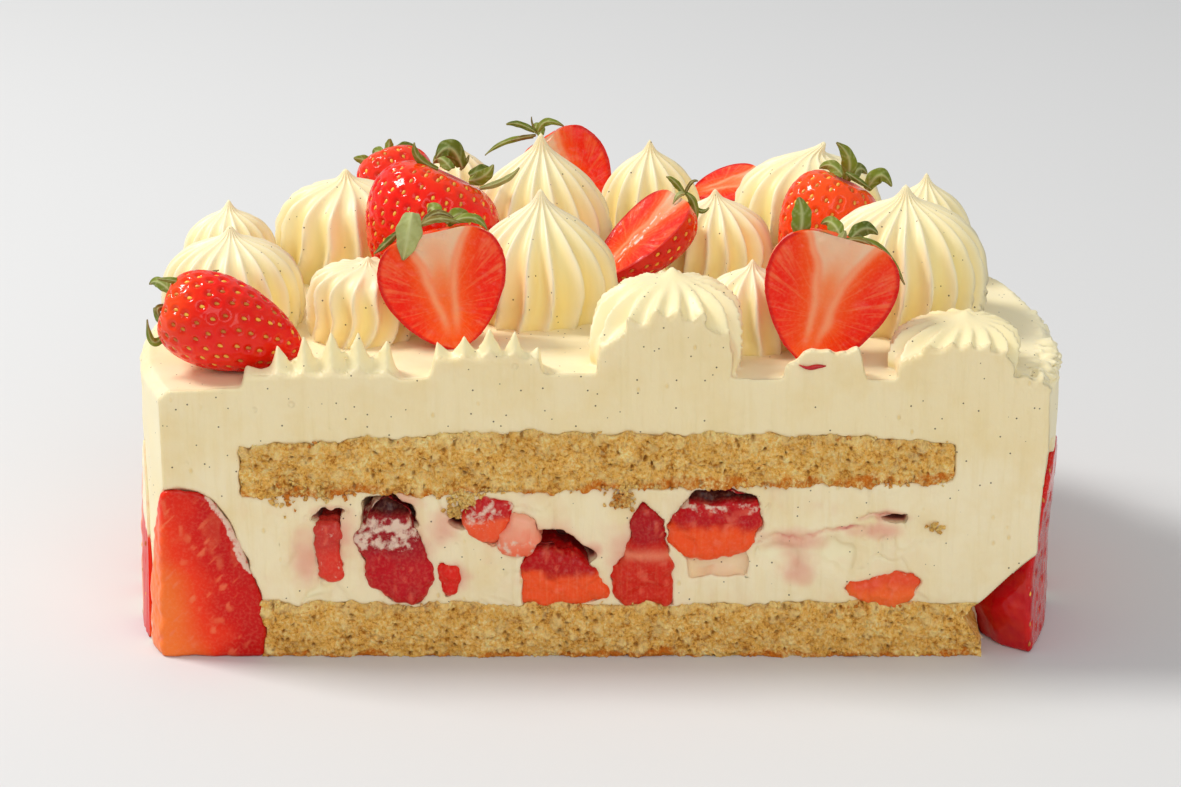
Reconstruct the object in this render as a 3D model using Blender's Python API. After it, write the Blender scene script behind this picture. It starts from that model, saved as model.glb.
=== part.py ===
"""A fraisier: a round strawberry and cream cake, cut straight across in front of its middle.

Metres, +Z up. The cut face looks along -Y, the cake stands on Z = 0, and the origin is at
the middle of its footprint. Lengths below are measured from the cut face (y) and from the
middle of the cake (x), and one empty then moves the whole cake over the origin.
"""
import math

import bmesh
import bpy
from mathutils import Matrix, Vector, noise

# The ring that the cake was set in, and the straight cut
RING_RADIUS = 0.1020
CENTRE_X = 0.0012
CENTRE_Y = 0.0414
DEPTH = CENTRE_Y + RING_RADIUS
CUT_ANGLE = math.asin(CENTRE_Y / RING_RADIUS)
WALL_LEAN = 0.0022
RIM_FLARE = 0.0038
RIM_ROUND = 0.0022

# The middle of the whole footprint, which goes over the origin
MIDDLE_X = 0.0012
MIDDLE_Y = 0.5 * DEPTH - 0.00015

# Heights of the cream's top, which falls off towards the left
TOP_MIDDLE = 0.0640
TOP_LEFT_DROP = 0.0036
TOP_RIGHT_DROP = 0.0010

# Clearance between touching pieces, and how far cutters run past a face
GAP = 0.0003
FOOT_GAP = 0.0004
REACH = 0.004

# Sponge layers: radius, left and right ends at the cut, and heights
SPONGE_RADIUS = 0.0835
SPONGE_TOP_ENDS = (-0.0726, 0.0760)
SPONGE_BOTTOM_ENDS = (-0.0705, 0.0829)
SPONGE_BOTTOM_THICKNESS = 0.0120
SPONGE_TOP_LOW = 0.0389
SPONGE_TOP_HIGH = 0.0479
SPONGE_TOP_ARCH = 0.0026

# Halved berries standing round the wall, the first one cut by the knife
WALL_BERRY_HALF_WIDTH = 0.0158
WALL_BERRY_DEPTH = 0.0172
WALL_BERRY_HEIGHTS = (0.0386, 0.0400, 0.0415, 0.0380, 0.0430, 0.0395, 0.0420,
                      0.0375, 0.0410, 0.0390, 0.0425, 0.0450)
WALL_BERRY_FIRST = math.radians(207.6)
WALL_BERRY_SECOND = math.radians(189.2)
WALL_BERRY_LAST = math.radians(-14.8)
FIRST_BERRY_SIZE = (0.0142, 0.0214)

# How wide a berry is along its height: from its tip to its shoulder
BERRY_PROFILE = ((0.05, 0.24), (0.17, 0.54), (0.34, 0.80), (0.52, 0.96), (0.68, 1.00),
                 (0.83, 0.93), (0.94, 0.70), (1.00, 0.34))
WALL_PROFILE = ((0.00, 0.93, 0.93), (0.16, 1.00, 1.00), (0.38, 0.95, 0.95), (0.58, 0.79, 0.79),
                (0.78, 0.52, 0.52), (0.92, 0.27, 0.27), (1.00, 0.08, 0.08))
FIRST_PROFILE = ((0.00, 0.96, 0.97), (0.16, 1.00, 1.00), (0.38, 0.98, 0.93), (0.58, 0.90, 0.77),
                 (0.78, 0.74, 0.60), (0.92, 0.54, 0.44), (1.00, 0.30, 0.22))
LAST_PROFILE = ((0.00, 0.90, 0.80), (0.18, 1.00, 1.00), (0.38, 0.95, 0.46), (0.58, 0.79, 0.13),
                (0.78, 0.52, 0.07), (0.92, 0.27, 0.05), (1.00, 0.08, 0.03))

# How wide a piped kiss is along its height, and how deep its flutes are there
KISS_PROFILE = ((0.00, 0.90, 0.13), (0.11, 0.98, 0.16), (0.27, 1.00, 0.17), (0.48, 0.84, 0.18),
                (0.73, 0.43, 0.18), (0.89, 0.15, 0.12))

# Piped kisses: name, x, y, radius, height, ridges, twist in degrees, lean of the tip along x
KISSES = (
    ("kiss_left_front", -0.0790, 0.0440, 0.0150, 0.0228, 16, 14, 0.0),
    ("kiss_left_back", -0.0826, 0.0702, 0.0108, 0.0216, 14, -10, 0.0),
    ("kiss_left_tall", -0.0562, 0.0858, 0.0166, 0.0236, 16, 8, -0.0008),
    ("kiss_small_left", -0.0488, 0.0338, 0.0124, 0.0170, 14, 12, 0.0),
    ("kiss_middle", -0.0107, 0.0450, 0.0171, 0.0275, 16, 6, 0.0),
    ("kiss_middle_back", -0.0115, 0.0824, 0.0170, 0.0309, 16, -8, 0.0),
    ("kiss_far_left", -0.0324, 0.1252, 0.0096, 0.0189, 12, 10, 0.0),
    ("kiss_far_right", 0.0146, 0.1030, 0.0124, 0.0243, 14, -6, 0.0),
    ("kiss_right_middle", 0.0300, 0.0790, 0.0131, 0.0193, 15, 9, -0.0008),
    ("kiss_small_right", 0.0350, 0.0252, 0.0106, 0.0182, 12, -12, 0.0),
    ("kiss_right_back", 0.0526, 0.0990, 0.0170, 0.0259, 16, 10, 0.0008),
    ("kiss_right_tall", 0.0692, 0.0430, 0.0178, 0.0300, 18, 8, 0.0),
    ("kiss_right_far", 0.0780, 0.0790, 0.0117, 0.0232, 14, -8, 0.0),
)
# Kisses that the knife went through, their middles just behind the cut
CUT_KISSES = (
    ("cut_kiss_middle", 0.0160, 0.0052, 0.0168, 0.0222, 16, 4, 0.0014),
    ("cut_kiss_right", 0.0762, 0.0024, 0.0139, 0.0138, 16, 0, 0.0022),
)
# Back rims of kisses that the knife took: name, middle x, half width, depth, height, teeth
STUMPS = (
    ("stump_left", -0.0567, 0.0162, 0.0046, 0.0098, 5),
    ("stump_middle", -0.0215, 0.0124, 0.0060, 0.0092, 5),
    ("stump_right", 0.0492, 0.0092, 0.0040, 0.0068, 4),
)

# Strawberries on the top: name, whole or half, x, y, lift over the cream, width, length,
# where the tip points and where the cut face (or the light side) looks
BERRIES = (
    ("berry_left", "whole", -0.0752, 0.0124, 0.0, 0.0200, 0.0304, (0.94, -0.02, -0.32), (0, -1, 0)),
    ("berry_middle_left", "whole", -0.0374, 0.0618, 0.0, 0.0299, 0.0295, (-0.42, -0.20, -0.88), (0, -1, 0)),
    ("berry_far_left", "whole", -0.0459, 0.1110, 0.0, 0.0189, 0.0224, (0.30, -0.40, -0.80), (0, -1, 0)),
    ("half_berry_left", "half", -0.0305, 0.0196, 0.0, 0.0276, 0.0256, (0.22, -0.14, -0.97), (0, -0.97, 0.22)),
    ("half_berry_far", "half", -0.0040, 0.1145, 0.0, 0.0220, 0.0249, (0.52, -0.12, -0.82), (0.1, -0.92, 0.3)),
    ("half_berry_middle", "half", 0.0109, 0.0636, 0.0, 0.0218, 0.0272, (-0.70, -0.30, -0.62), (-0.30, -0.62, 0.7)),
    ("half_berry_back", "half", 0.0341, 0.1200, 0.0, 0.0205, 0.0176, (-0.96, -0.10, -0.20), (0, -0.32, 0.95)),
    ("half_berry_right", "half", 0.0496, 0.0097, 0.0, 0.0284, 0.0280, (-0.26, -0.10, -0.96), (0, -0.97, 0.2)),
    ("berry_right", "whole", 0.0532, 0.0690, 0.0, 0.0222, 0.0262, (-0.42, -0.10, -0.88), (0, -1, 0)),
)
# Green caps: berry, leaves, spread of the leaves, first leaf, length, lift, all in degrees or metres
CAPS = (
    ("berry_left", 6, 360, 20, 0.0068, 0.10),
    ("berry_middle_left", 7, 360, 0, 0.0080, 0.20),
    ("berry_far_left", 5, 360, 30, 0.0066, 0.15),
    ("half_berry_left", 5, 170, 5, 0.0082, 0.05),
    ("half_berry_far", 5, 170, 5, 0.0080, 0.15),
    ("half_berry_middle", 3, 150, 5, 0.0036, -0.05),
    ("half_berry_right", 5, 170, 5, 0.0084, 0.10),
    ("berry_right", 6, 360, 10, 0.0076, 0.35),
)
LEAF_THICKNESS = 0.0005

# Pieces of fruit that show in the cut: name, depth, corners as x and z on the cut face
FRUITS = (
    ("fruit_strip", 0.016, ((-0.0574, 0.0305), (-0.0536, 0.0305), (-0.0532, 0.0180), (-0.0572, 0.0182))),
    ("fruit_crimson", 0.020, ((-0.0486, 0.0278), (-0.0438, 0.0350), (-0.0388, 0.0328), (-0.0352, 0.0242),
                              (-0.0340, 0.0180), (-0.0362, 0.0132), (-0.0418, 0.0134), (-0.0468, 0.0184))),
    ("fruit_small", 0.010, ((-0.0322, 0.0204), (-0.0278, 0.0206), (-0.0280, 0.0170), (-0.0302, 0.0136))),
    ("fruit_slices", 0.016, ((-0.0262, 0.0330), (-0.0225, 0.0362), (-0.0165, 0.0348), (-0.0178, 0.0288),
                             (-0.0208, 0.0256), (-0.0248, 0.0286))),
    ("fruit_pale", 0.012, ((-0.0170, 0.0286), (-0.0152, 0.0322), (-0.0122, 0.0318), (-0.0108, 0.0280),
                           (-0.0122, 0.0244), (-0.0160, 0.0238), (-0.0186, 0.0252))),
    ("fruit_wedge", 0.020, ((-0.0142, 0.0208), (-0.0112, 0.0254), (-0.0012, 0.0220), (0.0042, 0.0142),
                            (-0.0070, 0.0128), (-0.0138, 0.0126))),
    ("fruit_column", 0.020, ((0.0090, 0.0310), (0.0114, 0.0352), (0.0146, 0.0318), (0.0160, 0.0258),
                             (0.0172, 0.0132), (0.0128, 0.0124), (0.0072, 0.0132), (0.0056, 0.0184),
                             (0.0086, 0.0246))),
    ("fruit_right", 0.022, ((0.0166, 0.0300), (0.0218, 0.0362), (0.0275, 0.0380), (0.0345, 0.0358),
                            (0.0362, 0.0312), (0.0332, 0.0248), (0.0212, 0.0226), (0.0172, 0.0258))),
    ("fruit_low", 0.014, ((0.0552, 0.0152), (0.0612, 0.0178), (0.0672, 0.0188), (0.0708, 0.0168),
                          (0.0680, 0.0128), (0.0648, 0.0114), (0.0592, 0.0126))),
)
# Hollows that the cut opened over the fruit and before the last berry of the wall: as above
HOLLOWS = (
    (0.012, ((0.0829, -0.0040), (0.0826, 0.0020), (0.0801, 0.0092), (0.0846, 0.0132), (0.0907, 0.0196),
             (0.0952, 0.0235), (0.0962, 0.0406), (0.0966, 0.0490), (0.1080, 0.0490), (0.1080, -0.0040))),
    (0.008, ((-0.0592, 0.0312), (-0.0578, 0.0344), (-0.0512, 0.0334), (-0.0536, 0.0300))),
    (0.012, ((-0.0484, 0.0282), (-0.0478, 0.0352), (-0.0424, 0.0376), (-0.0370, 0.0348), (-0.0362, 0.0300))),
    (0.008, ((-0.0308, 0.0312), (-0.0285, 0.0328), (-0.0258, 0.0318), (-0.0270, 0.0294))),
    (0.010, ((-0.0112, 0.0246), (-0.0106, 0.0292), (-0.0060, 0.0286), (0.0018, 0.0232), (-0.0006, 0.0212))),
    (0.010, ((0.0168, 0.0312), (0.0214, 0.0374), (0.0290, 0.0394), (0.0352, 0.0368), (0.0356, 0.0330))),
    (0.003, ((0.0208, 0.0236), (0.0336, 0.0250), (0.0328, 0.0186), (0.0212, 0.0188))),
    (0.006, ((0.0598, 0.0312), (0.0640, 0.0326), (0.0692, 0.0318), (0.0668, 0.0302))),
)

# Colours: base colour and roughness
CREAM = ((0.87, 0.76, 0.50, 1.0), 0.55)
SPONGE = ((0.62, 0.42, 0.18, 1.0), 0.90)
BERRY_SKIN = ((0.62, 0.03, 0.02, 1.0), 0.28)
BERRY_FLESH = ((0.80, 0.14, 0.05, 1.0), 0.35)
LEAF = ((0.13, 0.22, 0.04, 1.0), 0.60)


def material(name, finish):
    """A plain material of the piece's own colour."""
    colour, roughness = finish
    made = bpy.data.materials.new(name)
    made.use_nodes = True
    shader = made.node_tree.nodes["Principled BSDF"]
    shader.inputs["Base Color"].default_value = colour
    shader.inputs["Roughness"].default_value = roughness
    shader.inputs["Metallic"].default_value = 0.0
    return made


def smoothstep(value):
    """0 below 0, 1 above 1 and smooth between."""
    value = min(1.0, max(0.0, value))
    return value * value * (3.0 - 2.0 * value)


def top_height(x):
    """Height of the cream's top at x."""
    left = TOP_LEFT_DROP * smoothstep((-0.005 - x) / 0.090)
    right = TOP_RIGHT_DROP * smoothstep((x - 0.005) / 0.030)
    return TOP_MIDDLE - left - right


def wobble(seed, *place):
    """A smooth random value between about -1 and 1 for a place."""
    return noise.noise(Vector((place[0] + 7.3 * seed, place[1] - 3.1 * seed, 1.7 * seed)))


def wall_radius(theta, part):
    """Radius of the cream's wall at an angle, from its foot (part 0) to its rim (part 1)."""
    right = math.exp(-((theta - math.radians(-24)) / math.radians(16)) ** 2)
    flare = RIM_FLARE * right * smoothstep((part - 0.20) / 0.50)
    ragged = 0.0006 * wobble(3, theta * 9.0, part * 4.0) * smoothstep((part - 0.55) / 0.4)
    return RING_RADIUS - WALL_LEAN * smoothstep(part / 0.75) + flare + ragged


def on_wall(theta, radius, height):
    """The place at an angle, a distance from the ring's middle and a height."""
    return Vector((CENTRE_X + radius * math.cos(theta), CENTRE_Y + radius * math.sin(theta), height))


def finish_mesh(bm, name, looks, root, smooth_angle=40.0):
    """Close a mesh, point its faces out and hang it on the cake as a named piece."""
    bmesh.ops.remove_doubles(bm, verts=bm.verts, dist=1e-7)
    bmesh.ops.dissolve_degenerate(bm, edges=bm.edges, dist=1e-7)
    bmesh.ops.recalc_face_normals(bm, faces=bm.faces)
    mesh = bpy.data.meshes.new(name)
    bm.to_mesh(mesh)
    bm.free()
    mesh.shade_smooth()
    mesh.set_sharp_from_angle(angle=math.radians(smooth_angle))
    piece = bpy.data.objects.new(name, mesh)
    if looks is not None:
        mesh.materials.append(looks)
    piece.parent = root
    bpy.context.scene.collection.objects.link(piece)
    return piece


def as_cutter(piece):
    """Make a piece a hidden cutter."""
    piece.hide_render = True
    piece.display_type = "WIRE"
    return piece


def cut(piece, cutter, solver="EXACT"):
    """Take a cutter's shape out of a piece."""
    step = piece.modifiers.new("cut", "BOOLEAN")
    step.operation = "DIFFERENCE"
    step.solver = solver
    step.object = cutter


def quads(bm, rows, closed, split=False):
    """Faces between rows of vertices of equal length, split alike into triangles if asked."""
    for low, high in zip(rows, rows[1:]):
        count = len(low)
        for i in range(count if closed else count - 1):
            j = (i + 1) % count
            if split:
                bm.faces.new((low[i], low[j], high[j]))
                bm.faces.new((low[i], high[j], high[i]))
            else:
                bm.faces.new((low[i], low[j], high[j], high[i]))


def half_moon(name, looks, root, radius_at, ends_at, low_at, high_at, around, across, levels, flat_foot):
    """A slab with a straight cut at y = 0 and a round back, between two heights.

    radius_at(theta, part) is the wall, ends_at(part) gives the two ends at the cut, and
    low_at and high_at(x, y) are the underside and the top. A flat foot is one face.
    """
    bm = bmesh.new()

    def wall(step, part):
        share = step / around
        theta = math.pi + CUT_ANGLE - share * (math.pi + 2.0 * CUT_ANGLE)
        left, right = ends_at(part)
        if step == 0:
            return left, 0.0
        if step == around:
            return right, 0.0
        place = on_wall(theta, radius_at(theta, part), 0.0)
        return place.x, place.y

    def front(step, part):
        left, right = ends_at(part)
        return left + (right - left) * step / around, 0.0

    def vertex(x, y, part):
        low = low_at(x, y)
        return bm.verts.new((x, y, low + (high_at(x, y) - low) * part))

    def sheet(part):
        rows = []
        for k in range(across + 1):
            row = []
            for step in range(around + 1):
                x0, y0 = front(step, part)
                x1, y1 = wall(step, part)
                t = k / across
                row.append(vertex(x0 + (x1 - x0) * t, y0 + (y1 - y0) * t, part))
            rows.append(row)
        quads(bm, rows, False)

    steps = range(around + 1)
    if flat_foot:
        bm.faces.new([vertex(*wall(step, 0.0), 0.0) for step in steps])
        foot = [front(0, 0.0), front(around, 0.0)]
    else:
        sheet(0.0)
        foot = [front(step, 0.0) for step in steps]
    sheet(1.0)
    quads(bm, [[vertex(*wall(step, part), part) for step in steps] for part in levels], False)
    corners = [vertex(*place, 0.0) for place in foot]
    corners += [vertex(*front(around, part), part) for part in levels[1:-1]]
    corners += [vertex(*front(step, 1.0), 1.0) for step in reversed(steps)]
    corners += [vertex(*front(0, part), part) for part in reversed(levels[1:-1])]
    bm.faces.new(corners)
    return finish_mesh(bm, name, looks, root, 50.0)


def make_cream(looks, root):
    """The body of cream, without its pockets."""
    rim = 1.0 - RIM_ROUND / TOP_MIDDLE

    def radius_at(theta, part):
        inset = RIM_ROUND * 0.9 * max(0.0, (part - rim) / (1.0 - rim))
        return wall_radius(theta, part) - inset

    def ends_at(part):
        left = radius_at(math.pi + CUT_ANGLE, part)
        right = radius_at(-CUT_ANGLE, part)
        return (CENTRE_X - math.sqrt(left ** 2 - CENTRE_Y ** 2),
                CENTRE_X + math.sqrt(right ** 2 - CENTRE_Y ** 2))

    def top(x, _y):
        return top_height(x)

    levels = (0.0, 0.5, 0.75, rim, 1.0)
    return half_moon("cream", looks, root, radius_at, ends_at, lambda x, y: 0.0, top, 40, 3,
                     levels, True)


def sponge_outline(radius, ends):
    """The wall and the ends of a sponge layer."""
    def radius_at(theta, _part):
        return radius + 0.0012 * wobble(5, 3.0 * theta, radius)

    def ends_at(_part):
        return ends

    return radius_at, ends_at


def sponge_bottom_high(x, y):
    """Top of the bottom sponge."""
    return SPONGE_BOTTOM_THICKNESS - 0.0004 + 0.0005 * wobble(1, x * 90.0, y * 90.0)


def sponge_top_low(x, y):
    """Underside of the top sponge, a little lower on its left."""
    return SPONGE_TOP_LOW + 0.0227 * x + 0.0005 * wobble(2, x * 110.0, y * 110.0)


def sponge_top_high(x, y):
    """Top of the top sponge, which is arched."""
    arch = SPONGE_TOP_ARCH * (1.0 - (x / 0.075) ** 2)
    return SPONGE_TOP_HIGH + 0.007 * x + arch + 0.0004 * wobble(4, x * 80.0, y * 80.0)


def make_sponge(name, looks, root, radius, ends, low_at, high_at, flat_foot, grow=0.0):
    """A sponge layer, or with grow the cutter for its pocket."""
    radius_at, ends_at = sponge_outline(radius + grow, (ends[0] - grow, ends[1] + grow))

    def low(x, y):
        return low_at(x, y) - grow

    def high(x, y):
        return high_at(x, y) + grow

    return half_moon(name, looks, root, radius_at, ends_at, low, high, 24, 3, (0.0, 1.0), flat_foot)


def make_kiss(spec, looks, root):
    """A piped kiss: fluted rings that close in a point."""
    name, x, y, radius, height, ridges, twist, lean = spec
    bm = bmesh.new()
    count = 2 * ridges
    rows = []
    for part, width, flute in KISS_PROFILE:
        row = []
        for i in range(count):
            turn = math.radians(twist) * part
            angle = 2.0 * math.pi * i / count + turn
            uneven = 1.0 + 0.030 * wobble(6, x * 900.0 + math.cos(angle), y * 900.0 + math.sin(angle))
            reach = radius * width * uneven * (1.0 - flute * (i % 2))
            px = x + lean * part ** 2 + reach * math.cos(angle)
            py = y + reach * math.sin(angle)
            foot = top_height(px if part == 0.0 else x)
            row.append(bm.verts.new((px, py, foot + FOOT_GAP + height * part)))
        rows.append(row)
    quads(bm, rows, True)
    bm.faces.new(rows[0])
    tip = bm.verts.new((x + lean, y, top_height(x) + FOOT_GAP + height))
    for i in range(count):
        bm.faces.new((rows[-1][i], rows[-1][(i + 1) % count], tip))
    return finish_mesh(bm, name, looks, root, 75.0)


def before_the_cut(root):
    """A box over everything that the knife took away."""
    bm = bmesh.new()
    bmesh.ops.create_cube(bm, size=1.0)
    for vertex in bm.verts:
        vertex.co = Vector((vertex.co.x * 0.30, (vertex.co.y - 0.5) * 0.06, (vertex.co.z + 0.1) * 0.16))
    return as_cutter(finish_mesh(bm, "knife", None, root))


def make_stump(spec, looks, root):
    """The back rim of a kiss, in ridges that stand up as teeth along the cut."""
    name, middle, half, depth, height, teeth = spec
    bm = bmesh.new()
    count = 2 * teeth
    front, crest, slope, back = [], [], [], []
    for i in range(count + 1):
        across = 2.0 * i / count - 1.0
        arch = math.sqrt(max(0.0, 1.0 - across * across))
        tooth = 1.0 if i % 2 else 0.62
        x = middle + half * across
        foot = top_height(x) + FOOT_GAP
        rise = height * (0.22 + 0.78 * arch ** 0.7) * tooth
        reach = 0.0012 + depth * arch * (1.0 if i % 2 else 0.84)
        front.append(bm.verts.new((x, 0.0, foot)))
        crest.append(bm.verts.new((x, 0.0, foot + rise)))
        slope.append(bm.verts.new((x, 0.5 * reach, foot + 0.78 * rise)))
        back.append(bm.verts.new((x, reach, foot)))
    quads(bm, [crest, slope, back, front], False)
    bm.faces.new(front + crest[::-1])
    for i in (0, count):
        bm.faces.new((front[i], crest[i], slope[i], back[i]))
    return finish_mesh(bm, name, looks, root, 40.0)


def berry_turn(spec):
    """Rotation that takes a berry's tip from -Z and its cut face from -Y to their sides."""
    up = -Vector(spec[7]).normalized()
    back = -Vector(spec[8])
    back = (back - up * back.dot(up)).normalized()
    return Matrix((back.cross(up), back, up)).transposed().to_4x4()


def berry_shape(spec):
    """Rings of a berry from its tip up and its tip, round its own middle and turned."""
    whole = spec[1] == "whole"
    width, length = spec[5], spec[6]
    around = 12 if whole else 7
    turn = berry_turn(spec)
    rows = []
    for part, reach in BERRY_PROFILE:
        row = []
        for i in range(around if whole else around + 1):
            angle = (2.0 * math.pi if whole else math.pi) * i / around
            uneven = 1.0 + 0.05 * wobble(8, length * 900.0 + math.cos(angle), part * 2.0 + math.sin(angle))
            side = 0.5 * width * reach * uneven
            local = Vector((side * math.cos(angle), side * math.sin(angle) * (1.0 if whole else 0.92),
                            (part - 0.5) * length))
            row.append(turn @ local)
        rows.append(row)
    return rows, turn @ Vector((0.0, 0.0 if whole else 0.0006, -0.5 * length))


def berry_place(spec):
    """Middle of a berry whose lowest point rests on the cream."""
    x, y, lift = spec[2], spec[3], spec[4]
    rows, tip = berry_shape(spec)
    lowest = min(point.z - top_height(x + point.x) for point in sum(rows, [tip]))
    return Vector((x, y, FOOT_GAP - lowest + lift))


def make_berry(spec, looks, root):
    """A whole or halved strawberry on the top."""
    place = berry_place(spec)
    points, end = berry_shape(spec)
    bm = bmesh.new()
    rows = [[bm.verts.new(point + place) for point in row] for row in points]
    tip = bm.verts.new(end + place)
    quads(bm, rows, True)
    count = len(rows[0])
    for i in range(count):
        bm.faces.new((tip, rows[0][(i + 1) % count], rows[0][i]))
    bm.faces.new(rows[-1])
    return finish_mesh(bm, spec[0], looks, root, 50.0)


def make_cap(cap, spec, looks, root):
    """The green cap of a berry: a small disc with thin wavy leaves."""
    _name, leaves, spread, first, length, lift = cap
    width, tall = spec[5], spec[6]
    turn = berry_turn(spec)
    place = berry_place(spec)
    foot = 0.5 * tall + 0.0009
    disc = 0.0026
    centre_y = 0.0 if spec[1] == "whole" else 0.0034
    points = [Vector((0.0, centre_y, foot))]
    faces = []
    step = spread / leaves if spread == 360 else spread / (leaves - 1)
    half = math.radians(min(step, 40.0) * 0.36)
    ring = []
    for k in range(leaves):
        angle = math.radians(first + step * k)
        wave = 0.0010 * math.sin(2.3 * k + 1.0)
        reach = length * (1.0 + 0.18 * math.sin(1.9 * k))
        rise = reach * (lift + 0.22 * math.sin(2.7 * k + 0.6))

        def at(distance, side, height):
            direction = Vector((math.cos(angle + side), math.sin(angle + side), 0.0))
            return Vector((0.0, centre_y, foot + height)) + direction * distance

        start = len(points)
        points += [at(disc, -half, 0.0), at(disc, half, 0.0),
                   at(0.62 * reach + disc, -0.22, 0.35 * rise + wave), at(0.62 * reach + disc, 0.22, 0.35 * rise - wave),
                   at(reach + disc, 0.0, rise)]
        faces += [(start, start + 1, start + 3), (start, start + 3, start + 2), (start + 2, start + 3, start + 4),
                  (0, start + 1, start)]
        ring.append(start)
    closed = spread == 360
    for k in range(leaves if closed else leaves - 1):
        faces.append((0, ring[(k + 1) % leaves], ring[k] + 1))
    bm = bmesh.new()
    rise = Vector((0.0, 0.0, LEAF_THICKNESS))
    low = [bm.verts.new(turn @ point + place) for point in points]
    high = [bm.verts.new(turn @ (point + rise) + place) for point in points]
    edges = {}
    for face in faces:
        bm.faces.new([high[i] for i in face])
        bm.faces.new([low[i] for i in reversed(face)])
        for a, b in zip(face, face[1:] + face[:1]):
            edges[(a, b)] = (b, a) in edges or edges.get((a, b), False)
    for a, b in list(edges):
        if (b, a) not in edges:
            bm.faces.new((low[a], low[b], high[b]))
            bm.faces.new((low[a], high[b], high[a]))
    return finish_mesh(bm, "cap_of_" + spec[0], looks, root, 30.0)


def wall_berry_angles():
    """Angle of each halved berry round the wall, from the left of the cut to its right."""
    count = len(WALL_BERRY_HEIGHTS)
    pitch = (WALL_BERRY_SECOND - WALL_BERRY_LAST) / (count - 2)
    return [WALL_BERRY_FIRST] + [WALL_BERRY_SECOND - pitch * k for k in range(count - 1)]


def make_wall_berry(name, index, looks, root, grow=0.0):
    """A halved berry standing on its hulled end, its cut face bent along the wall.

    With grow it is the cutter for its pocket, which runs out through the wall and the foot.
    """
    theta = wall_berry_angles()[index]
    height = WALL_BERRY_HEIGHTS[index]
    around = 6
    lean = 0.0012 * math.sin(2.1 * index)
    size = 1.0 + 0.04 * math.sin(1.7 * index + 0.4)
    half, deep = WALL_BERRY_HALF_WIDTH * size, WALL_BERRY_DEPTH * size
    profile = WALL_PROFILE
    if index == 0:
        half, deep = FIRST_BERRY_SIZE
        profile = FIRST_PROFILE
    if index == len(WALL_BERRY_HEIGHTS) - 1:
        profile = LAST_PROFILE
    bm = bmesh.new()
    rows = []
    for part, width, depth in profile:
        level = -REACH if grow and part == 0.0 else GAP + (height + grow) * part
        face = wall_radius(theta, max(0.0, level) / TOP_MIDDLE) - 0.0002
        middle = theta + lean * part / face
        row = []
        for i in range(around + 1):
            angle = math.pi * i / around
            side = (half * width + grow) * math.cos(angle)
            inward = (deep * depth + grow) * math.sin(angle)
            row.append(on_wall(middle + side / face, face - inward, level))
        out = face + (REACH if grow else 0.0)
        ends = [(half * width + grow) / face, -(half * width + grow) / face]
        if grow:
            row = [on_wall(middle + ends[0], out, level)] + row + [on_wall(middle + ends[1], out, level)]
        row.append(on_wall(middle, out, level))
        rows.append([bm.verts.new(place) for place in row])
    quads(bm, rows, True, True)
    bm.faces.new(rows[0])
    bm.faces.new(rows[-1])
    return finish_mesh(bm, name, looks, root, 50.0)


def outward_at(corners, i):
    """How far a corner of an outline moves for each unit that its edges move out."""
    count = len(corners)
    before, here, after = (Vector(corners[(i + k) % count]) for k in (-1, 0, 1))
    first = (here - before).normalized()
    second = (after - here).normalized()
    area = sum(p[0] * q[1] - q[0] * p[1] for p, q in zip(corners, corners[1:] + corners[:1]))
    side = 1.0 if area > 0.0 else -1.0
    one = Vector((first.y, -first.x)) * side
    two = Vector((second.y, -second.x)) * side
    return (one + two) / max(0.35, 1.0 + one.dot(two))


def make_block(name, depth, corners, looks, root, front=0.0, grow=0.0, taper=0.72):
    """A piece behind the cut face: its outline there, drawn in towards its back."""
    bm = bmesh.new()
    middle = Vector((sum(p[0] for p in corners), sum(p[1] for p in corners))) / len(corners)
    rows = []
    for y, size in ((front, 1.0), (0.0, 1.0), (0.55 * depth, 0.96), (depth + grow, taper)):
        if rows and y <= front:
            continue
        row = []
        for i, corner in enumerate(corners):
            place = middle + (Vector(corner) - middle) * size + outward_at(corners, i) * grow
            row.append(bm.verts.new((place.x, y, place.y)))
        rows.append(row)
    quads(bm, rows, True)
    bm.faces.new(rows[0])
    bm.faces.new(rows[-1])
    return finish_mesh(bm, name, looks, root, 35.0)


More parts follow.
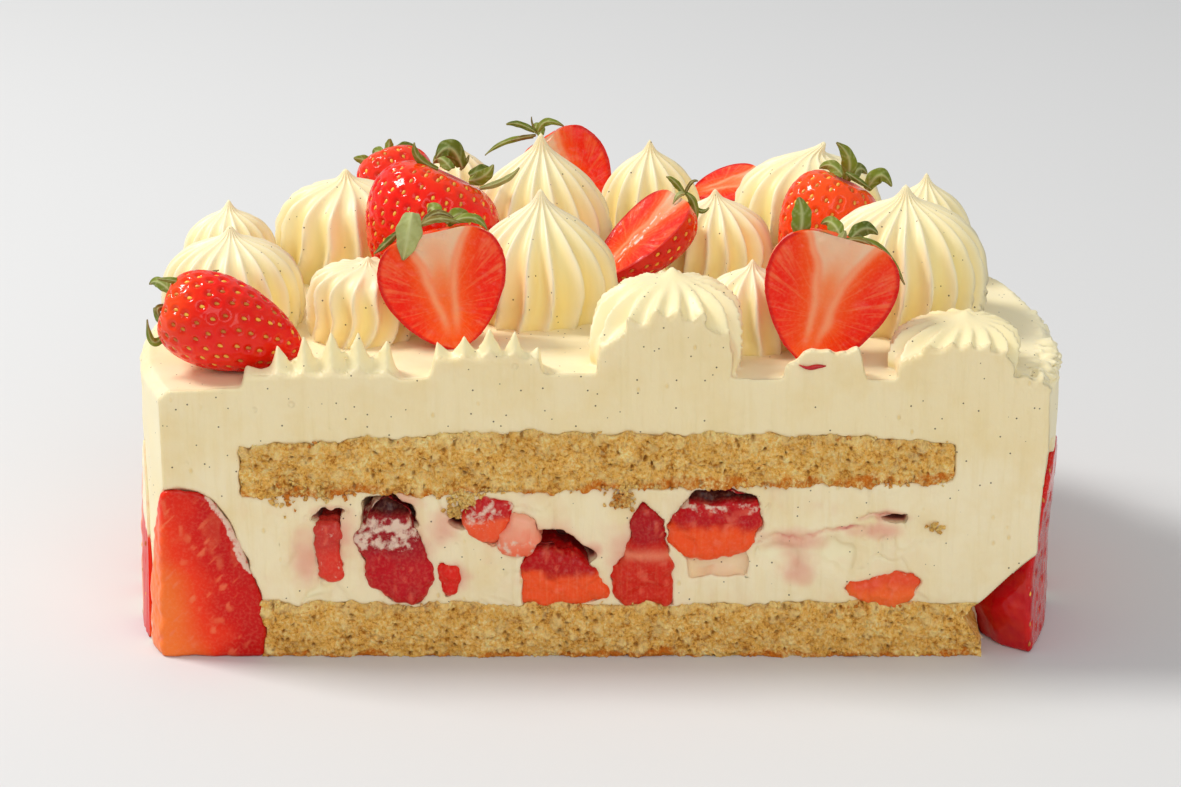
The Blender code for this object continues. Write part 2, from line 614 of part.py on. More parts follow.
def build():
    """Model the whole cake."""
    for old in list(bpy.data.objects):
        bpy.data.objects.remove(old, do_unlink=True)
    root = bpy.data.objects.new("cake", None)
    root.location = (-MIDDLE_X, -MIDDLE_Y, 0.0)
    bpy.context.scene.collection.objects.link(root)

    cream_looks = material("cream", CREAM)
    sponge_looks = material("sponge", SPONGE)
    skin = material("berry_skin", BERRY_SKIN)
    flesh = material("berry_flesh", BERRY_FLESH)
    green = material("leaf", LEAF)
    knife = before_the_cut(root)

    cream = make_cream(cream_looks, root)
    layers = (
        ("sponge_bottom", SPONGE_BOTTOM_ENDS, lambda x, y: 0.0, sponge_bottom_high),
        ("sponge_top", SPONGE_TOP_ENDS, sponge_top_low, sponge_top_high),
    )
    sponges = []
    for name, ends, low, high in layers:
        foot = name == "sponge_bottom"
        sponges.append(make_sponge(name, sponge_looks, root, SPONGE_RADIUS, ends, low, high, foot))
        pocket = make_sponge(name + "_pocket", None, root, SPONGE_RADIUS, ends, low, high, foot, 1.5 * GAP)
        for vertex in pocket.data.vertices:
            if vertex.co.y < 1e-6:
                vertex.co.y = -0.0006
            if foot and vertex.co.z < 0.001:
                vertex.co.z = -REACH
        cut(cream, as_cutter(pocket))

    for index in range(len(WALL_BERRY_HEIGHTS)):
        berry = make_wall_berry(f"wall_berry_{index + 1:02d}", index, flesh, root)
        pocket = as_cutter(make_wall_berry(f"wall_pocket_{index + 1:02d}", index, None, root, 1.2 * GAP))
        if index in (0, len(WALL_BERRY_HEIGHTS) - 1):
            cut(berry, knife)
        cut(cream, pocket)
        cut(sponges[0], pocket)

    for name, depth, corners in FRUITS:
        make_block(name, depth, corners, flesh, root)
        pocket = as_cutter(make_block(name + "_pocket", depth, corners, None, root, -REACH, 1.3 * GAP))
        cut(cream, pocket, "MANIFOLD")
        cut(sponges[0], pocket)
    for index, (depth, corners) in enumerate(HOLLOWS):
        hollow = as_cutter(make_block(f"hollow_{index + 1}", depth, corners, None, root, -REACH))
        cut(cream, hollow, "MANIFOLD")
        if index == 0:
            cut(sponges[0], hollow)

    for spec in KISSES:
        make_kiss(spec, cream_looks, root)
    for spec in CUT_KISSES:
        cut(make_kiss(spec, cream_looks, root), knife)
    for spec in STUMPS:
        make_stump(spec, cream_looks, root)
    berries = {spec[0]: spec for spec in BERRIES}
    for spec in BERRIES:
        make_berry(spec, skin if spec[1] == "whole" else flesh, root)
    for cap in CAPS:
        make_cap(cap, berries[cap[0]], green, root)


build()
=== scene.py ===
"""Looks of half a fraisier: piped vanilla cream, strawberries, sponge crumb and the knife's cut.

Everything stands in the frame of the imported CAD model: metres, +Z up, the cut face towards -Y.
"""

import itertools
import logging
import math
from contextlib import contextmanager
from dataclasses import dataclass, field
from enum import Enum
from typing import Any, Iterator, Sequence

import bpy
import numpy as np
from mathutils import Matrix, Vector


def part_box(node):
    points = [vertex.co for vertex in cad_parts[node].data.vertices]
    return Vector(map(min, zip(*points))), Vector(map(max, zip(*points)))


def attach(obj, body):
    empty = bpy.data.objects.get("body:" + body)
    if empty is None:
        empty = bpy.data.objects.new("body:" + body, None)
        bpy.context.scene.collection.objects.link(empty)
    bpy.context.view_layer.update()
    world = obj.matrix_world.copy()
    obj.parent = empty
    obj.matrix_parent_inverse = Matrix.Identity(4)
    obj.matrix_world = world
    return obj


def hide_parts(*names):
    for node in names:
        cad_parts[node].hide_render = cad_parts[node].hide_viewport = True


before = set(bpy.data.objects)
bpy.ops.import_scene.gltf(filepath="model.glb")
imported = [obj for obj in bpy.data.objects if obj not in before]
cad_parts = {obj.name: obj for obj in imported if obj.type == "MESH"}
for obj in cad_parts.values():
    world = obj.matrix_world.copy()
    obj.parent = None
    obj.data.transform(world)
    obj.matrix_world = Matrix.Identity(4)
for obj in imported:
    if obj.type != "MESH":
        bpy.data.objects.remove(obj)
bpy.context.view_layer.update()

LOG = logging.getLogger("fraisier")
Array = np.ndarray
Piece = bpy.types.Object
Material = bpy.types.Material
Socket = bpy.types.NodeSocket
Colour = tuple[float, float, float]
Place = tuple[float, float, float]
Pair = tuple[float, float]

MM = 0.001
# Where the cut lies, and the middle and radius of the whole ring
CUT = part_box("cream")[0].y
RING_MIDDLE = (0.0, CUT + 0.0414)
RING_RADIUS = 0.1020
# Heights of the cream's top, and below of the lower sponge's
TOP = 0.0640
# The heights below were drawn from a middle that lies this far to the left
DRAWN_LEFT = 0.0012
LOWER_TOP = 0.0116


def tone(red: int, green: int, blue: int) -> Colour:
    """A linear colour from the usual 0 to 255 values."""
    return tuple(((v / 255 + 0.055) / 1.055) ** 2.4 if v > 10 else v / 3294.6
                 for v in (red, green, blue))


def smoothstep(value: Array) -> Array:
    """0 below 0, 1 above 1 and smooth between."""
    value = np.clip(value, 0.0, 1.0)
    return value * value * (3.0 - 2.0 * value)


def rise(value: Array, start: Any, width: float) -> Array:
    """0 at start and 1 a width further on, or a width before it where the width is below 0."""
    return smoothstep((value - start) / width)


def bell(value: Array, width: float) -> Array:
    """1 at 0, and next to nothing two widths away."""
    return np.exp(-(value / width) ** 2)


def blend(low: Any, high: Any, share: Array) -> Array:
    """Colours between low and high for each share."""
    share = np.clip(share, 0.0, 1.0)[:, None]
    return np.asarray(low, float) * (1.0 - share) + np.asarray(high, float) * share


def scramble(cells: Array, seed: int) -> Array:
    """A random value from 0 to 1 for each whole-number cell.

    Args:
        cells: Rows of whole numbers.
        seed: Chooses another set of values.
    Returns:
        One value for each row.
    """
    primes = np.array((73856093, 19349663, 83492791))[:cells.shape[1]]
    mixed = (cells * primes).sum(1) + seed * 974711
    mixed = (mixed ^ (mixed >> 13)) * 60493 % 2147483647
    mixed = (mixed ^ (mixed >> 11)) * 19990303 % 2147483647
    return (mixed % 65521) / 65521.0


def smooth_noise(places: Array, size: float, seed: int = 0) -> Array:
    """Smooth random values between -1 and 1 that change over about one size.

    Args:
        places: Rows of coordinates.
        size: Length over which the value changes.
        seed: Chooses another noise.
    Returns:
        One value for each place.
    """
    grid = places / size + 13.7 * seed
    low = np.floor(grid).astype(np.int64)
    part = smoothstep(grid - low)
    total = np.zeros(len(places))
    for corner in itertools.product((0, 1), repeat=places.shape[1]):
        weight = np.prod(np.where(corner, part, 1.0 - part), axis=1)
        total += (2.0 * scramble(low + np.array(corner), seed) - 1.0) * weight
    return total


def waves(places: Array, *kinds: tuple[float, float, int]) -> Array:
    """Smooth noises on top of each other.

    Args:
        places: Rows of coordinates.
        kinds: The height, size and seed of each noise.
    Returns:
        One value for each place.
    """
    return sum(height * smooth_noise(places, size, seed) for height, size, seed in kinds)


def grains(places: Array, size: float, seed: int) -> tuple[Array, Array]:
    """Grains scattered one to a cell of a flat or solid grid.

    Args:
        places: Rows of coordinates.
        size: Width of a cell.
        seed: Chooses another scatter.
    Returns:
        The distance to the nearest grain in cell widths, and that grain's random value.
    """
    grid = places / size
    home = np.floor(grid).astype(np.int64)
    nearest = np.full(len(places), 9.0)
    value = np.zeros(len(places))
    for step in itertools.product((-1, 0, 1), repeat=places.shape[1]):
        cell = home + np.array(step)
        spot = cell + np.stack([scramble(cell, seed + 5 + k) for k in range(places.shape[1])], 1)
        distance = np.linalg.norm(grid - spot, axis=1)
        closer = distance < nearest
        nearest = np.where(closer, distance, nearest)
        value = np.where(closer, scramble(cell, seed), value)
    return nearest, value


def nearest_oval(flat: Array, ovals: Sequence[tuple[float, float, float, float]]) -> Array:
    """How far places are from the nearest oval's middle, where 1 is its edge.

    Args:
        flat: Rows of x and z.
        ovals: x, z, half width and half height of each oval.
    Returns:
        One distance for each place.
    """
    return np.min([np.hypot((flat[:, 0] - x) / wide, (flat[:, 1] - z) / tall)
                   for x, z, wide, tall in ovals], axis=0)


def line_through(knots: Sequence[Pair], width: float = 1.0, height: float = 1.0) -> Array:
    """A smooth line through knots, in even steps.

    Args:
        knots: Places from start to end.
        width: Scale of the first coordinate.
        height: Scale of the second coordinate.
    Returns:
        400 rows of two coordinates.
    """
    at = np.array(knots, float) * (width, height)
    padded = np.vstack([2 * at[0] - at[1], at, 2 * at[-1] - at[-2]])
    t = np.linspace(0.0, 1.0, 16, endpoint=False)[:, None]
    runs = [0.5 * (2 * b + (c - a) * t + (2 * a - 5 * b + 4 * c - d) * t ** 2
                   + (3 * b - a - 3 * c + d) * t ** 3)
            for a, b, c, d in zip(padded, padded[1:], padded[2:], padded[3:])]
    line = np.vstack(runs + [at[-1:]])
    run = np.concatenate([[0.0], np.cumsum(np.linalg.norm(np.diff(line, axis=0), axis=1))])
    steps = np.linspace(0.0, run[-1], 400)
    return np.stack([np.interp(steps, run, line[:, k]) for k in (0, 1)], 1)


def along(line: Array, share: Array) -> tuple[Array, Array]:
    """Both coordinates of a line at each share of its length."""
    steps = np.linspace(0.0, 1.0, len(line))
    return np.interp(share, steps, line[:, 0]), np.interp(share, steps, line[:, 1])


def ring_places(turn: Array, up: Array) -> Array:
    """Where a noise that closes round a piece is read, for each turn and height."""
    return np.stack([np.cos(turn), np.sin(turn), up], 1)


def uneven(at: Array) -> Array:
    """How far the filling at the cut strays from its plain outline.

    Args:
        at: Places.
    Returns:
        The shift of each place, along x and z alone.
    """
    x, y, z = at.T
    fade = rise(z, 0.001, 0.006) * rise(z, 0.055, -0.004)
    fade *= rise(np.abs(x), 0.0795, -0.008) * rise(y, CUT + 0.030, -0.008)
    shift = np.zeros_like(at)
    for axis, seed in ((0, 70), (2, 71)):
        shift[:, axis] = fade * waves(at[:, (0, 2)], (0.00065, 0.0050, seed),
                                      (0.00045, 0.0019, seed + 2), (0.00018, 0.0009, seed + 4))
    return shift


def top_height(x: Array) -> Array:
    """Height of the cream's top at x: lower to the left, and a little on the right."""
    x = np.asarray(x) + DRAWN_LEFT
    return TOP - 0.0036 * rise(x, -0.005, -0.090) - 0.0010 * rise(x, 0.005, 0.030)


def upper_foot(x: Array) -> Array:
    """Height of the upper sponge's underside at x."""
    return 0.0389 + 0.0227 * (x + DRAWN_LEFT)


def upper_top(x: Array) -> Array:
    """Height of the upper sponge's top at x."""
    return 0.0479 + 0.007 * x + 0.0026 * (1.0 - (x / 0.075) ** 2)


def wall_reach(theta: Array, height: Array) -> Array:
    """Distance of the cream's wall from the ring's middle.

    Args:
        theta: Angles round that middle.
        height: Heights over the floor.
    Returns:
        One distance for each.
    """
    part = height / TOP
    right = bell(theta - math.radians(-24), math.radians(16))
    return RING_RADIUS - 0.0022 * smoothstep(part / 0.75) + 0.0038 * right * rise(part, 0.20, 0.50)


# Meshes


def clear_selection() -> None:
    """Leave nothing selected."""
    if bpy.context.object and bpy.context.object.mode != "OBJECT":
        bpy.ops.object.mode_set(mode="OBJECT")
    bpy.ops.object.select_all(action="DESELECT")


def pick(piece: Piece) -> None:
    """Select one piece alone."""
    clear_selection()
    piece.select_set(True)
    bpy.context.view_layer.objects.active = piece


@contextmanager
def editing(piece: Piece) -> Iterator[None]:
    """Edit mode on one piece, with all of it selected."""
    pick(piece)
    bpy.ops.object.mode_set(mode="EDIT")
    bpy.ops.mesh.select_all(action="SELECT")
    yield
    bpy.ops.object.mode_set(mode="OBJECT")


def name_piece(piece: Piece, name: str) -> Piece:
    """Give a piece and its mesh one name."""
    piece.name = piece.data.name = name
    return piece


def points_of(piece: Piece) -> Array:
    """The places of a piece's vertices."""
    flat = np.zeros(len(piece.data.vertices) * 3)
    piece.data.vertices.foreach_get("co", flat)
    return flat.reshape(-1, 3)


def normals_of(piece: Piece) -> Array:
    """The normals of a piece's vertices."""
    flat = np.zeros(len(piece.data.vertices) * 3, np.float32)
    piece.data.vertex_normals.foreach_get("vector", flat)
    return flat.reshape(-1, 3).astype(float)


def move_points(piece: Piece, points: Array) -> None:
    """Set the places of a piece's vertices."""
    piece.data.vertices.foreach_set("co", np.ascontiguousarray(points, np.float32).ravel())
    piece.data.update()


def triangles_of(piece: Piece) -> int:
    """How many triangles a piece has."""
    return sum(len(face.vertices) - 2 for face in piece.data.polygons)


def store(piece: Piece, **layers: Any) -> None:
    """Keep numbers or colours at the vertices for the materials.

    Args:
        piece: The piece that they belong to.
        layers: Under each name a number or a colour for each vertex, or one for all.
    """
    count = len(piece.data.vertices)
    for name, values in layers.items():
        if np.shape(values)[-1:] == (3,):
            full = np.ones((count, 4), np.float32)
            full[:, :3] = values
            piece.data.attributes.new(name, "FLOAT_COLOR",
                                      "POINT").data.foreach_set("color", full.ravel())
        else:
            full = np.full(count, values, np.float32)
            piece.data.attributes.new(name, "FLOAT", "POINT").data.foreach_set("value", full)


def ball(name: str, around: int, rings: int) -> tuple[Piece, Array, Array]:
    """A round start for a piece.

    Args:
        name: Name of the piece.
        around: Faces round it.
        rings: Rings from its foot to its top.
    Returns:
        The piece, each vertex's share of the way up, and its turn round the middle.
    """
    clear_selection()
    bpy.ops.mesh.primitive_uv_sphere_add(segments=around, ring_count=rings, radius=1.0)
    piece = name_piece(bpy.context.object, name)
    at = points_of(piece)
    return piece, np.arccos(np.clip(-at[:, 2], -1.0, 1.0)) / math.pi, np.arctan2(at[:, 1], at[:, 0])


def piece_of(name: str, points: Array, faces: Sequence[Sequence[int]]) -> Piece:
    """A piece that is put together out of points and faces."""
    mesh = bpy.data.meshes.new(name)
    mesh.from_pydata(np.asarray(points).tolist(), [], faces)
    piece = bpy.data.objects.new(name, mesh)
    bpy.context.scene.collection.objects.link(piece)
    return piece


def node_copy(node: str, name: str) -> Piece:
    """A merged copy of a CAD node's mesh, without its material.

    Args:
        node: Name of the node.
        name: Name of the copy.
    Returns:
        The copy.
    """
    piece = bpy.data.objects.new(name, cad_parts[node].data.copy())
    piece.data.name = name
    bpy.context.scene.collection.objects.link(piece)
    piece.data.materials.clear()
    with editing(piece):
        bpy.ops.mesh.remove_doubles(threshold=1e-6)
    return piece


def apply(piece: Piece, kind: str, where: Array | None = None, **settings: Any) -> None:
    """Apply one modifier.

    Args:
        piece: The piece.
        kind: Blender's name of the modifier.
        where: Which vertices it changes, or None where it takes no choice.
        settings: Its properties.
    """
    step = piece.modifiers.new("step", kind)
    for name, value in settings.items():
        setattr(step, name, value)
    if where is not None:
        group = piece.vertex_groups.new(name="chosen")
        group.add(np.flatnonzero(where).tolist(), 1.0, "REPLACE")
        step.vertex_group = group.name
    pick(piece)
    bpy.ops.object.modifier_apply(modifier=step.name)
    piece.vertex_groups.clear()


def soften(piece: Piece, times: int, where: Array | None = None) -> None:
    """Round a piece's corners, everywhere or at the vertices that are given."""
    apply(piece, "SMOOTH", where, factor=0.6, iterations=times)


def new_skin(piece: Piece, voxel: float, times: int = 0, squeeze: float = 1.0) -> None:
    """Make a piece one even skin, finer along the cut than back from it where it is squeezed.

    Args:
        piece: The piece.
        voxel: Width of the skin's faces.
        times: How often it is softened.
        squeeze: How much it is pressed towards the cut meanwhile.
    """
    at = points_of(piece)
    at[:, 1] = CUT + (at[:, 1] - CUT) * squeeze
    move_points(piece, at)
    apply(piece, "REMESH", mode="VOXEL", voxel_size=voxel * 1.0)
    if times:
        soften(piece, times)
    at = points_of(piece)
    at[:, 1] = CUT + (at[:, 1] - CUT) / squeeze
    move_points(piece, at)


def thin_out(piece: Piece, triangles: int, keep: Array | None = None) -> None:
    """Thin a piece's flat parts until it has so many triangles.

    Args:
        piece: The piece.
        triangles: How many it may have.
        keep: Which vertices stay as they are, or None for none.
    """
    now = triangles_of(piece)
    if now > triangles:
        loose = np.ones(len(piece.data.vertices), bool) if keep is None else ~keep
        apply(piece, "DECIMATE", loose, ratio=triangles / now)


def keep_behind(piece: Piece, y: float) -> None:
    """Cut a piece with the knife and close the cut."""
    with editing(piece):
        bpy.ops.mesh.bisect(plane_co=(0.0, y, 0.0), plane_no=(0.0, -1.0, 0.0), use_fill=True,
                            clear_outer=True)


def joined(pieces: Sequence[Piece], name: str) -> Piece:
    """Join pieces into one mesh."""
    clear_selection()
    for piece in pieces:
        piece.select_set(True)
    bpy.context.view_layer.objects.active = pieces[0]
    bpy.ops.object.join()
    return name_piece(pieces[0], name)


def scattered(name: str, rings: int, places: Sequence[Array], taper: float = 0.0) -> Piece:
    """Copies of one small round shape in a joined mesh.

    Args:
        name: Name of the piece.
        rings: Rings of the shape.
        places: A 4 by 3 table for each copy: three axes and a place.
        taper: How much narrower the shape is at its top.
    Returns:
        The joined piece.
    """
    start, _share, _turn = ball("small_shape", 8, rings)
    shape = points_of(start)
    shape[:, 0] *= 1.0 - taper * shape[:, 2]
    faces = [list(face.vertices) for face in start.data.polygons]
    bpy.data.objects.remove(start)
    points = np.vstack([shape @ place[:3] + place[3] for place in places])
    return piece_of(name, points,
                    [[i + len(shape) * k for i in face] for k in range(len(places))
                     for face in faces])


def finish_piece(piece: Piece, look: Material | None, nodes: Sequence[str] = (),
                 angle: float = 180.0) -> None:
    """Dress a piece, hang it on the cake and hide the CAD nodes that it stands for.

    Args:
        piece: The piece.
        look: Its material, or None where it has its materials.
        nodes: CAD nodes that it replaces.
        angle: Edges sharper than this stay sharp.
    """
    if look:
        piece.data.materials.append(look)
    pick(piece)
    if angle < 180.0:
        bpy.ops.object.shade_smooth_by_angle(angle=math.radians(angle))
    else:
        bpy.ops.object.shade_smooth()
    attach(piece, "root")
    if nodes:
        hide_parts(*nodes)
    LOG.info("%s: %d triangles", piece.name, triangles_of(piece))


# Materials


class Paint:
    """One material, put together out of nodes."""

    def __init__(self, name: str) -> None:
        """Start a material of this name with its shader."""
        self.material = bpy.data.materials.new(name)
        self.material.use_nodes = True
        self.tree = self.material.node_tree
        self.shader = self.tree.nodes["Principled BSDF"]
        self.place = self.node("ShaderNodeTexCoord").outputs["Object"]

    def fill(self, node: bpy.types.Node, inputs: dict[Any, Any]) -> None:
        """Fill a node's inputs.

        Args:
            node: The node.
            inputs: What goes into each input: a socket or a value.
        """
        for name, value in inputs.items():
            if isinstance(value, Socket):
                self.tree.links.new(value, node.inputs[name])
            else:
                node.inputs[name].default_value = value

    def node(self, kind: str, inputs: dict[Any, Any] | None = None,
             **settings: Any) -> bpy.types.Node:
        """Add a node.

        Args:
            kind: Blender's name of the node.
            inputs: What goes into each input.
            settings: Properties of the node.
        Returns:
            The node.
        """
        made = self.tree.nodes.new(kind)
        for name, value in settings.items():
            setattr(made, name, value)
        self.fill(made, inputs or {})
        return made

    def value(self, name: str) -> Socket:
        """A number kept at the vertices."""
        return self.node("ShaderNodeAttribute", attribute_name=name).outputs["Fac"]

    def colour(self, name: str) -> Socket:
        """A colour kept at the vertices."""
        return self.node("ShaderNodeAttribute", attribute_name=name).outputs["Color"]

    def noise(self, scale: float, detail: float = 3.0, place: Any = None,
              rough: float = 0.55) -> Socket:
        """Noise from 0 to 1."""
        inputs = {"Vector": place or self.place, "Scale": scale, "Detail": detail,
                  "Roughness": rough}
        return self.node("ShaderNodeTexNoise", inputs).outputs["Fac"]

    def cells(self, scale: float, place: Any = None) -> bpy.types.Node:
        """Grains scattered one to a cell."""
        return self.node("ShaderNodeTexVoronoi", {"Vector": place or self.place, "Scale": scale})

    def stretched(self, x: float, y: float, z: float) -> Socket:
        """The place with each direction scaled."""
        return self.node("ShaderNodeMapping",
                         {"Vector": self.place, "Scale": (x, y, z)}).outputs["Vector"]

    def calc(self, operation: str, first: Any, second: Any) -> Socket:
        """A sum or another result of two numbers."""
        return self.node("ShaderNodeMath", {0: first, 1: second}, operation=operation).outputs[0]

    def times(self, first: Any, second: Any) -> Socket:
        """Two numbers multiplied."""
        return self.calc("MULTIPLY", first, second)

    def rise(self, value: Any, low: float, high: float) -> Socket:
        """0 to 1 while a value goes from low to high."""
        inputs = {"Value": value, "From Min": low, "From Max": high}
        return self.node("ShaderNodeMapRange", inputs, clamp=True).outputs["Result"]

    def glazed(self, colour: Any, *glazes: tuple[Any, Any, float]) -> Socket:
        """A colour with others laid over it.

        Args:
            colour: The colour at the bottom.
            glazes: For each layer its colour, how much it covers, and a factor for that.
        Returns:
            The colour that comes out.
        """
        for tint, share, factor in glazes:
            share = share if factor == 1.0 else self.times(share, factor)
            low, high = ((*v, 1.0) if isinstance(v, tuple) else v for v in (colour, tint))
            colour = self.node("ShaderNodeMix", {0: share, 6: low, 7: high},
                               data_type="RGBA").outputs[2]
        return colour

    def relief(self, *reliefs: tuple[Socket, float, float]) -> Socket:
        """Reliefs on top of each other.

        Args:
            reliefs: For each the height from 0 to 1, what it is multiplied by, and its strength.
        Returns:
            The normal.
        """
        normal = {}
        for height, distance, strength in reliefs:
            inputs = {"Height": height, "Distance": distance, "Strength": strength, **normal}
            normal = {"Normal": self.node("ShaderNodeBump", inputs).outputs["Normal"]}
        return normal["Normal"]

    def finish(self, colour: Any, **numbers: Any) -> Material:
        """Set the shader.

        Args:
            colour: Base colour.
            numbers: Other inputs, their spaces written as underscores.
        Returns:
            The material.
        """
        self.fill(self.shader, {"Base Color": colour})
        self.fill(self.shader, {name.replace("_", " "): value for name, value in numbers.items()})
        return self.material


@dataclass(frozen=True)
class CreamFinish:
    """Vanilla cream: ivory on its crests, with black vanilla specks, and painted shade that makes
    it yellower in its hollows.
    """
    ivory: Colour = tone(252, 240, 203)
    shade: Colour = tone(250, 233, 186)
    # Painted shade: the yellower tone laid into the hollows of the kisses and under overhangs
    hollow: Colour = tone(251, 226, 128)
    # Painted shade: the cut face, with the key lamp behind it, is painted darker and yellower
    cut: Colour = tone(243, 221, 172)
    filling: Colour = tone(253, 238, 204)
    patch: Colour = tone(236, 208, 140)
    streak: Colour = tone(236, 214, 156)
    pink: Colour = tone(232, 158, 134)
    # Partly juice stain and partly painted shade: crimson deep in the pockets behind the cut
    crimson: Colour = tone(84, 16, 16)
    # Painted shade: the small pits in the cut face are painted a darker yellow
    pit: Colour = tone(240, 200, 104)
    speck: Colour = tone(58, 44, 32)

    def height(self, paint: Paint) -> Socket:
        """The height, shifted a little by noise."""
        drift = paint.node("ShaderNodeTexNoise",
                           {"Vector": paint.place, "Scale": 110.0}).outputs["Color"]
        drift = paint.node("ShaderNodeVectorMath", {0: drift, 1: (0.006, 0.006, 0.006)},
                           operation="MULTIPLY").outputs[0]
        place = paint.node("ShaderNodeVectorMath", {0: paint.place, 1: drift},
                           operation="ADD").outputs[0]
        return paint.node("ShaderNodeSeparateXYZ", {0: place}).outputs[2]

    def make(self) -> Material:
        """The material."""
        paint = Paint("vanilla_cream")
        cut, stain = paint.value("cut"), paint.value("stain")
        knife = paint.noise(1.0, 4.0, paint.stretched(700.0, 300.0, 60.0))
        pits = paint.cells(330.0, paint.stretched(1.0, 1.0, 0.62))
        chance = paint.node("ShaderNodeSeparateColor", {0: pits.outputs["Color"]}).outputs[0]
        pit = paint.times(paint.rise(pits.outputs["Distance"], 0.16, 0.05),
                          paint.calc("GREATER_THAN", chance, 0.78))
        pit = paint.times(pit, cut)
        bubbles = paint.times(paint.rise(paint.cells(120.0).outputs["Distance"], 0.10, 0.04), cut)
        colour = paint.glazed(
            self.ivory,
            (self.shade, paint.rise(paint.noise(45.0), 0.35, 0.75), 1.0),
            # painted shade in the hollows
            (self.hollow, paint.value("hollow"), 0.72),
            # painted shade on the cut face
            (self.cut, cut, 0.55),
            (self.filling, paint.times(paint.rise(self.height(paint), 0.052, 0.044), cut), 0.40),
            (self.patch, paint.times(paint.rise(paint.noise(95.0, 4.0), 0.46, 0.70), cut), 0.42),
            (self.streak, paint.times(paint.rise(knife, 0.5, 0.72), cut), 0.34),
            (self.pink, paint.rise(stain, 0.0, 0.55), 1.0),
            (self.crimson, paint.rise(stain, 0.55, 1.0), 1.0),
            # painted shade in the pits
            (self.pit, pit, 0.45),
            (self.speck, paint.rise(paint.cells(390.0).outputs["Distance"], 0.085, 0.06), 0.9))
        normal = paint.relief(
            (paint.times(knife, cut), 0.00024, 0.8),
            (paint.times(bubbles, -1.0), 0.00035, 0.8),
            (paint.times(paint.noise(210.0, 4.0), cut), 0.00050, 0.8),
            (paint.times(pit, -1.0), 0.00022, 0.8),
            (paint.noise(700.0), 0.00005, 0.6))
        return paint.finish(colour, Normal=normal, Roughness=0.42, Specular_IOR_Level=0.42,
                            Subsurface_Weight=0.22, Subsurface_Radius=(1.0, 0.9, 0.65),
                            Subsurface_Scale=0.0022)


@dataclass(frozen=True)
class CrumbFinish:
    """Open golden crumb, browned at the underside of each layer, with painted shade in its pores.
    """
    dark: Colour = tone(168, 100, 18)
    middle: Colour = tone(240, 186, 92)
    pale: Colour = tone(255, 234, 166)
    patch: Colour = tone(196, 138, 48)
    # Painted shade: the pores are painted dark
    pore: Colour = tone(130, 76, 16)
    brown: Colour = tone(206, 112, 24)

    def make(self) -> Material:
        """The material."""
        paint = Paint("sponge_crumb")
        level = paint.calc("ADD", paint.times(paint.noise(1400.0, 5.0, rough=0.7), 0.55),
                           paint.times(paint.noise(330.0, 4.0, rough=0.65), 0.45))
        colour = paint.glazed(
            self.dark,
            (self.middle, paint.rise(level, 0.38, 0.50), 1.0),
            (self.pale, paint.rise(level, 0.52, 0.64), 1.0),
            (self.pale, paint.value("grain"), 0.34),
            (self.patch, paint.rise(paint.noise(150.0), 0.42, 0.66), 0.24),
            # painted shade in the pores
            (self.pore, paint.value("pore"), 1.0),
            (self.brown, paint.times(paint.value("browned"), paint.rise(level, 0.62, 0.44)), 1.0))
        normal = paint.relief((level, 0.0006, 0.9),
                              (paint.cells(1100.0).outputs["Distance"], 0.0003, 0.7))
        return paint.finish(colour, Normal=normal, Roughness=0.85, Specular_IOR_Level=0.2,
                            Subsurface_Weight=0.25, Subsurface_Radius=(1.0, 0.6, 0.2),
                            Subsurface_Scale=0.0008)


@dataclass(frozen=True)
class SkinFinish:
    """Glossy strawberry skin, its colour kept at the vertices."""
    warm: Colour = tone(252, 84, 34)

    def make(self) -> Material:
        """The material."""
        paint = Paint("strawberry_skin")
        tint = paint.colour("tint")
        colour = paint.glazed(tint,
                              (self.warm, paint.rise(paint.noise(260.0, 4.0), 0.42, 0.75), 1.0),
                              (tint, 0.72, 1.0))
        return paint.finish(colour, Normal=paint.relief((paint.noise(480.0, 2.0), 0.00012, 0.5)),
                            Roughness=0.14, Specular_IOR_Level=0.26, Coat_Weight=0.12,
                            Coat_Roughness=0.03, Subsurface_Weight=0.12,
                            Subsurface_Radius=(1.0, 0.25, 0.12), Subsurface_Scale=0.002)


@dataclass(frozen=True)
class FleshFinish:
    """Wet cut flesh: its colour kept at the vertices, with fine fibres that run out to the skin."""
    fibre: Colour = tone(252, 140, 84)
    grain: Colour = tone(255, 190, 150)
    cream: Colour = tone(240, 214, 190)

    def make(self) -> Material:
        """The material."""
        paint = Paint("strawberry_flesh")
        fan = paint.node("ShaderNodeCombineXYZ",
                         {0: paint.times(paint.value("ray"), 11.0),
                          1: paint.times(paint.value("reach"), 1.6)}).outputs[0]
        streak = paint.rise(paint.noise(1.0, 2.0, fan), 0.50, 0.80)
        smear = paint.calc("ADD", paint.value("smear"), paint.times(paint.noise(620.0, 4.0), 0.9))
        tint = paint.colour("tint")
        colour = paint.glazed(
            tint,
            (paint.glazed(tint, (self.fibre, 0.6, 1.0)),
             paint.times(streak, paint.value("fibrous")), 1.0),
            (self.grain, paint.rise(paint.noise(1500.0), 0.45, 0.75), 0.10),
            (self.cream, paint.rise(smear, 0.92, 1.08), 0.85))
        normal = paint.relief((paint.noise(800.0, 4.0), 0.00018, 0.5), (streak, 0.00012, 0.5))
        return paint.finish(colour, Normal=normal, Roughness=0.3, Specular_IOR_Level=0.17,
                            Coat_Weight=0.08, Coat_Roughness=0.08, Subsurface_Weight=0.15,
                            Subsurface_Radius=(1.0, 0.35, 0.18), Subsurface_Scale=0.002)


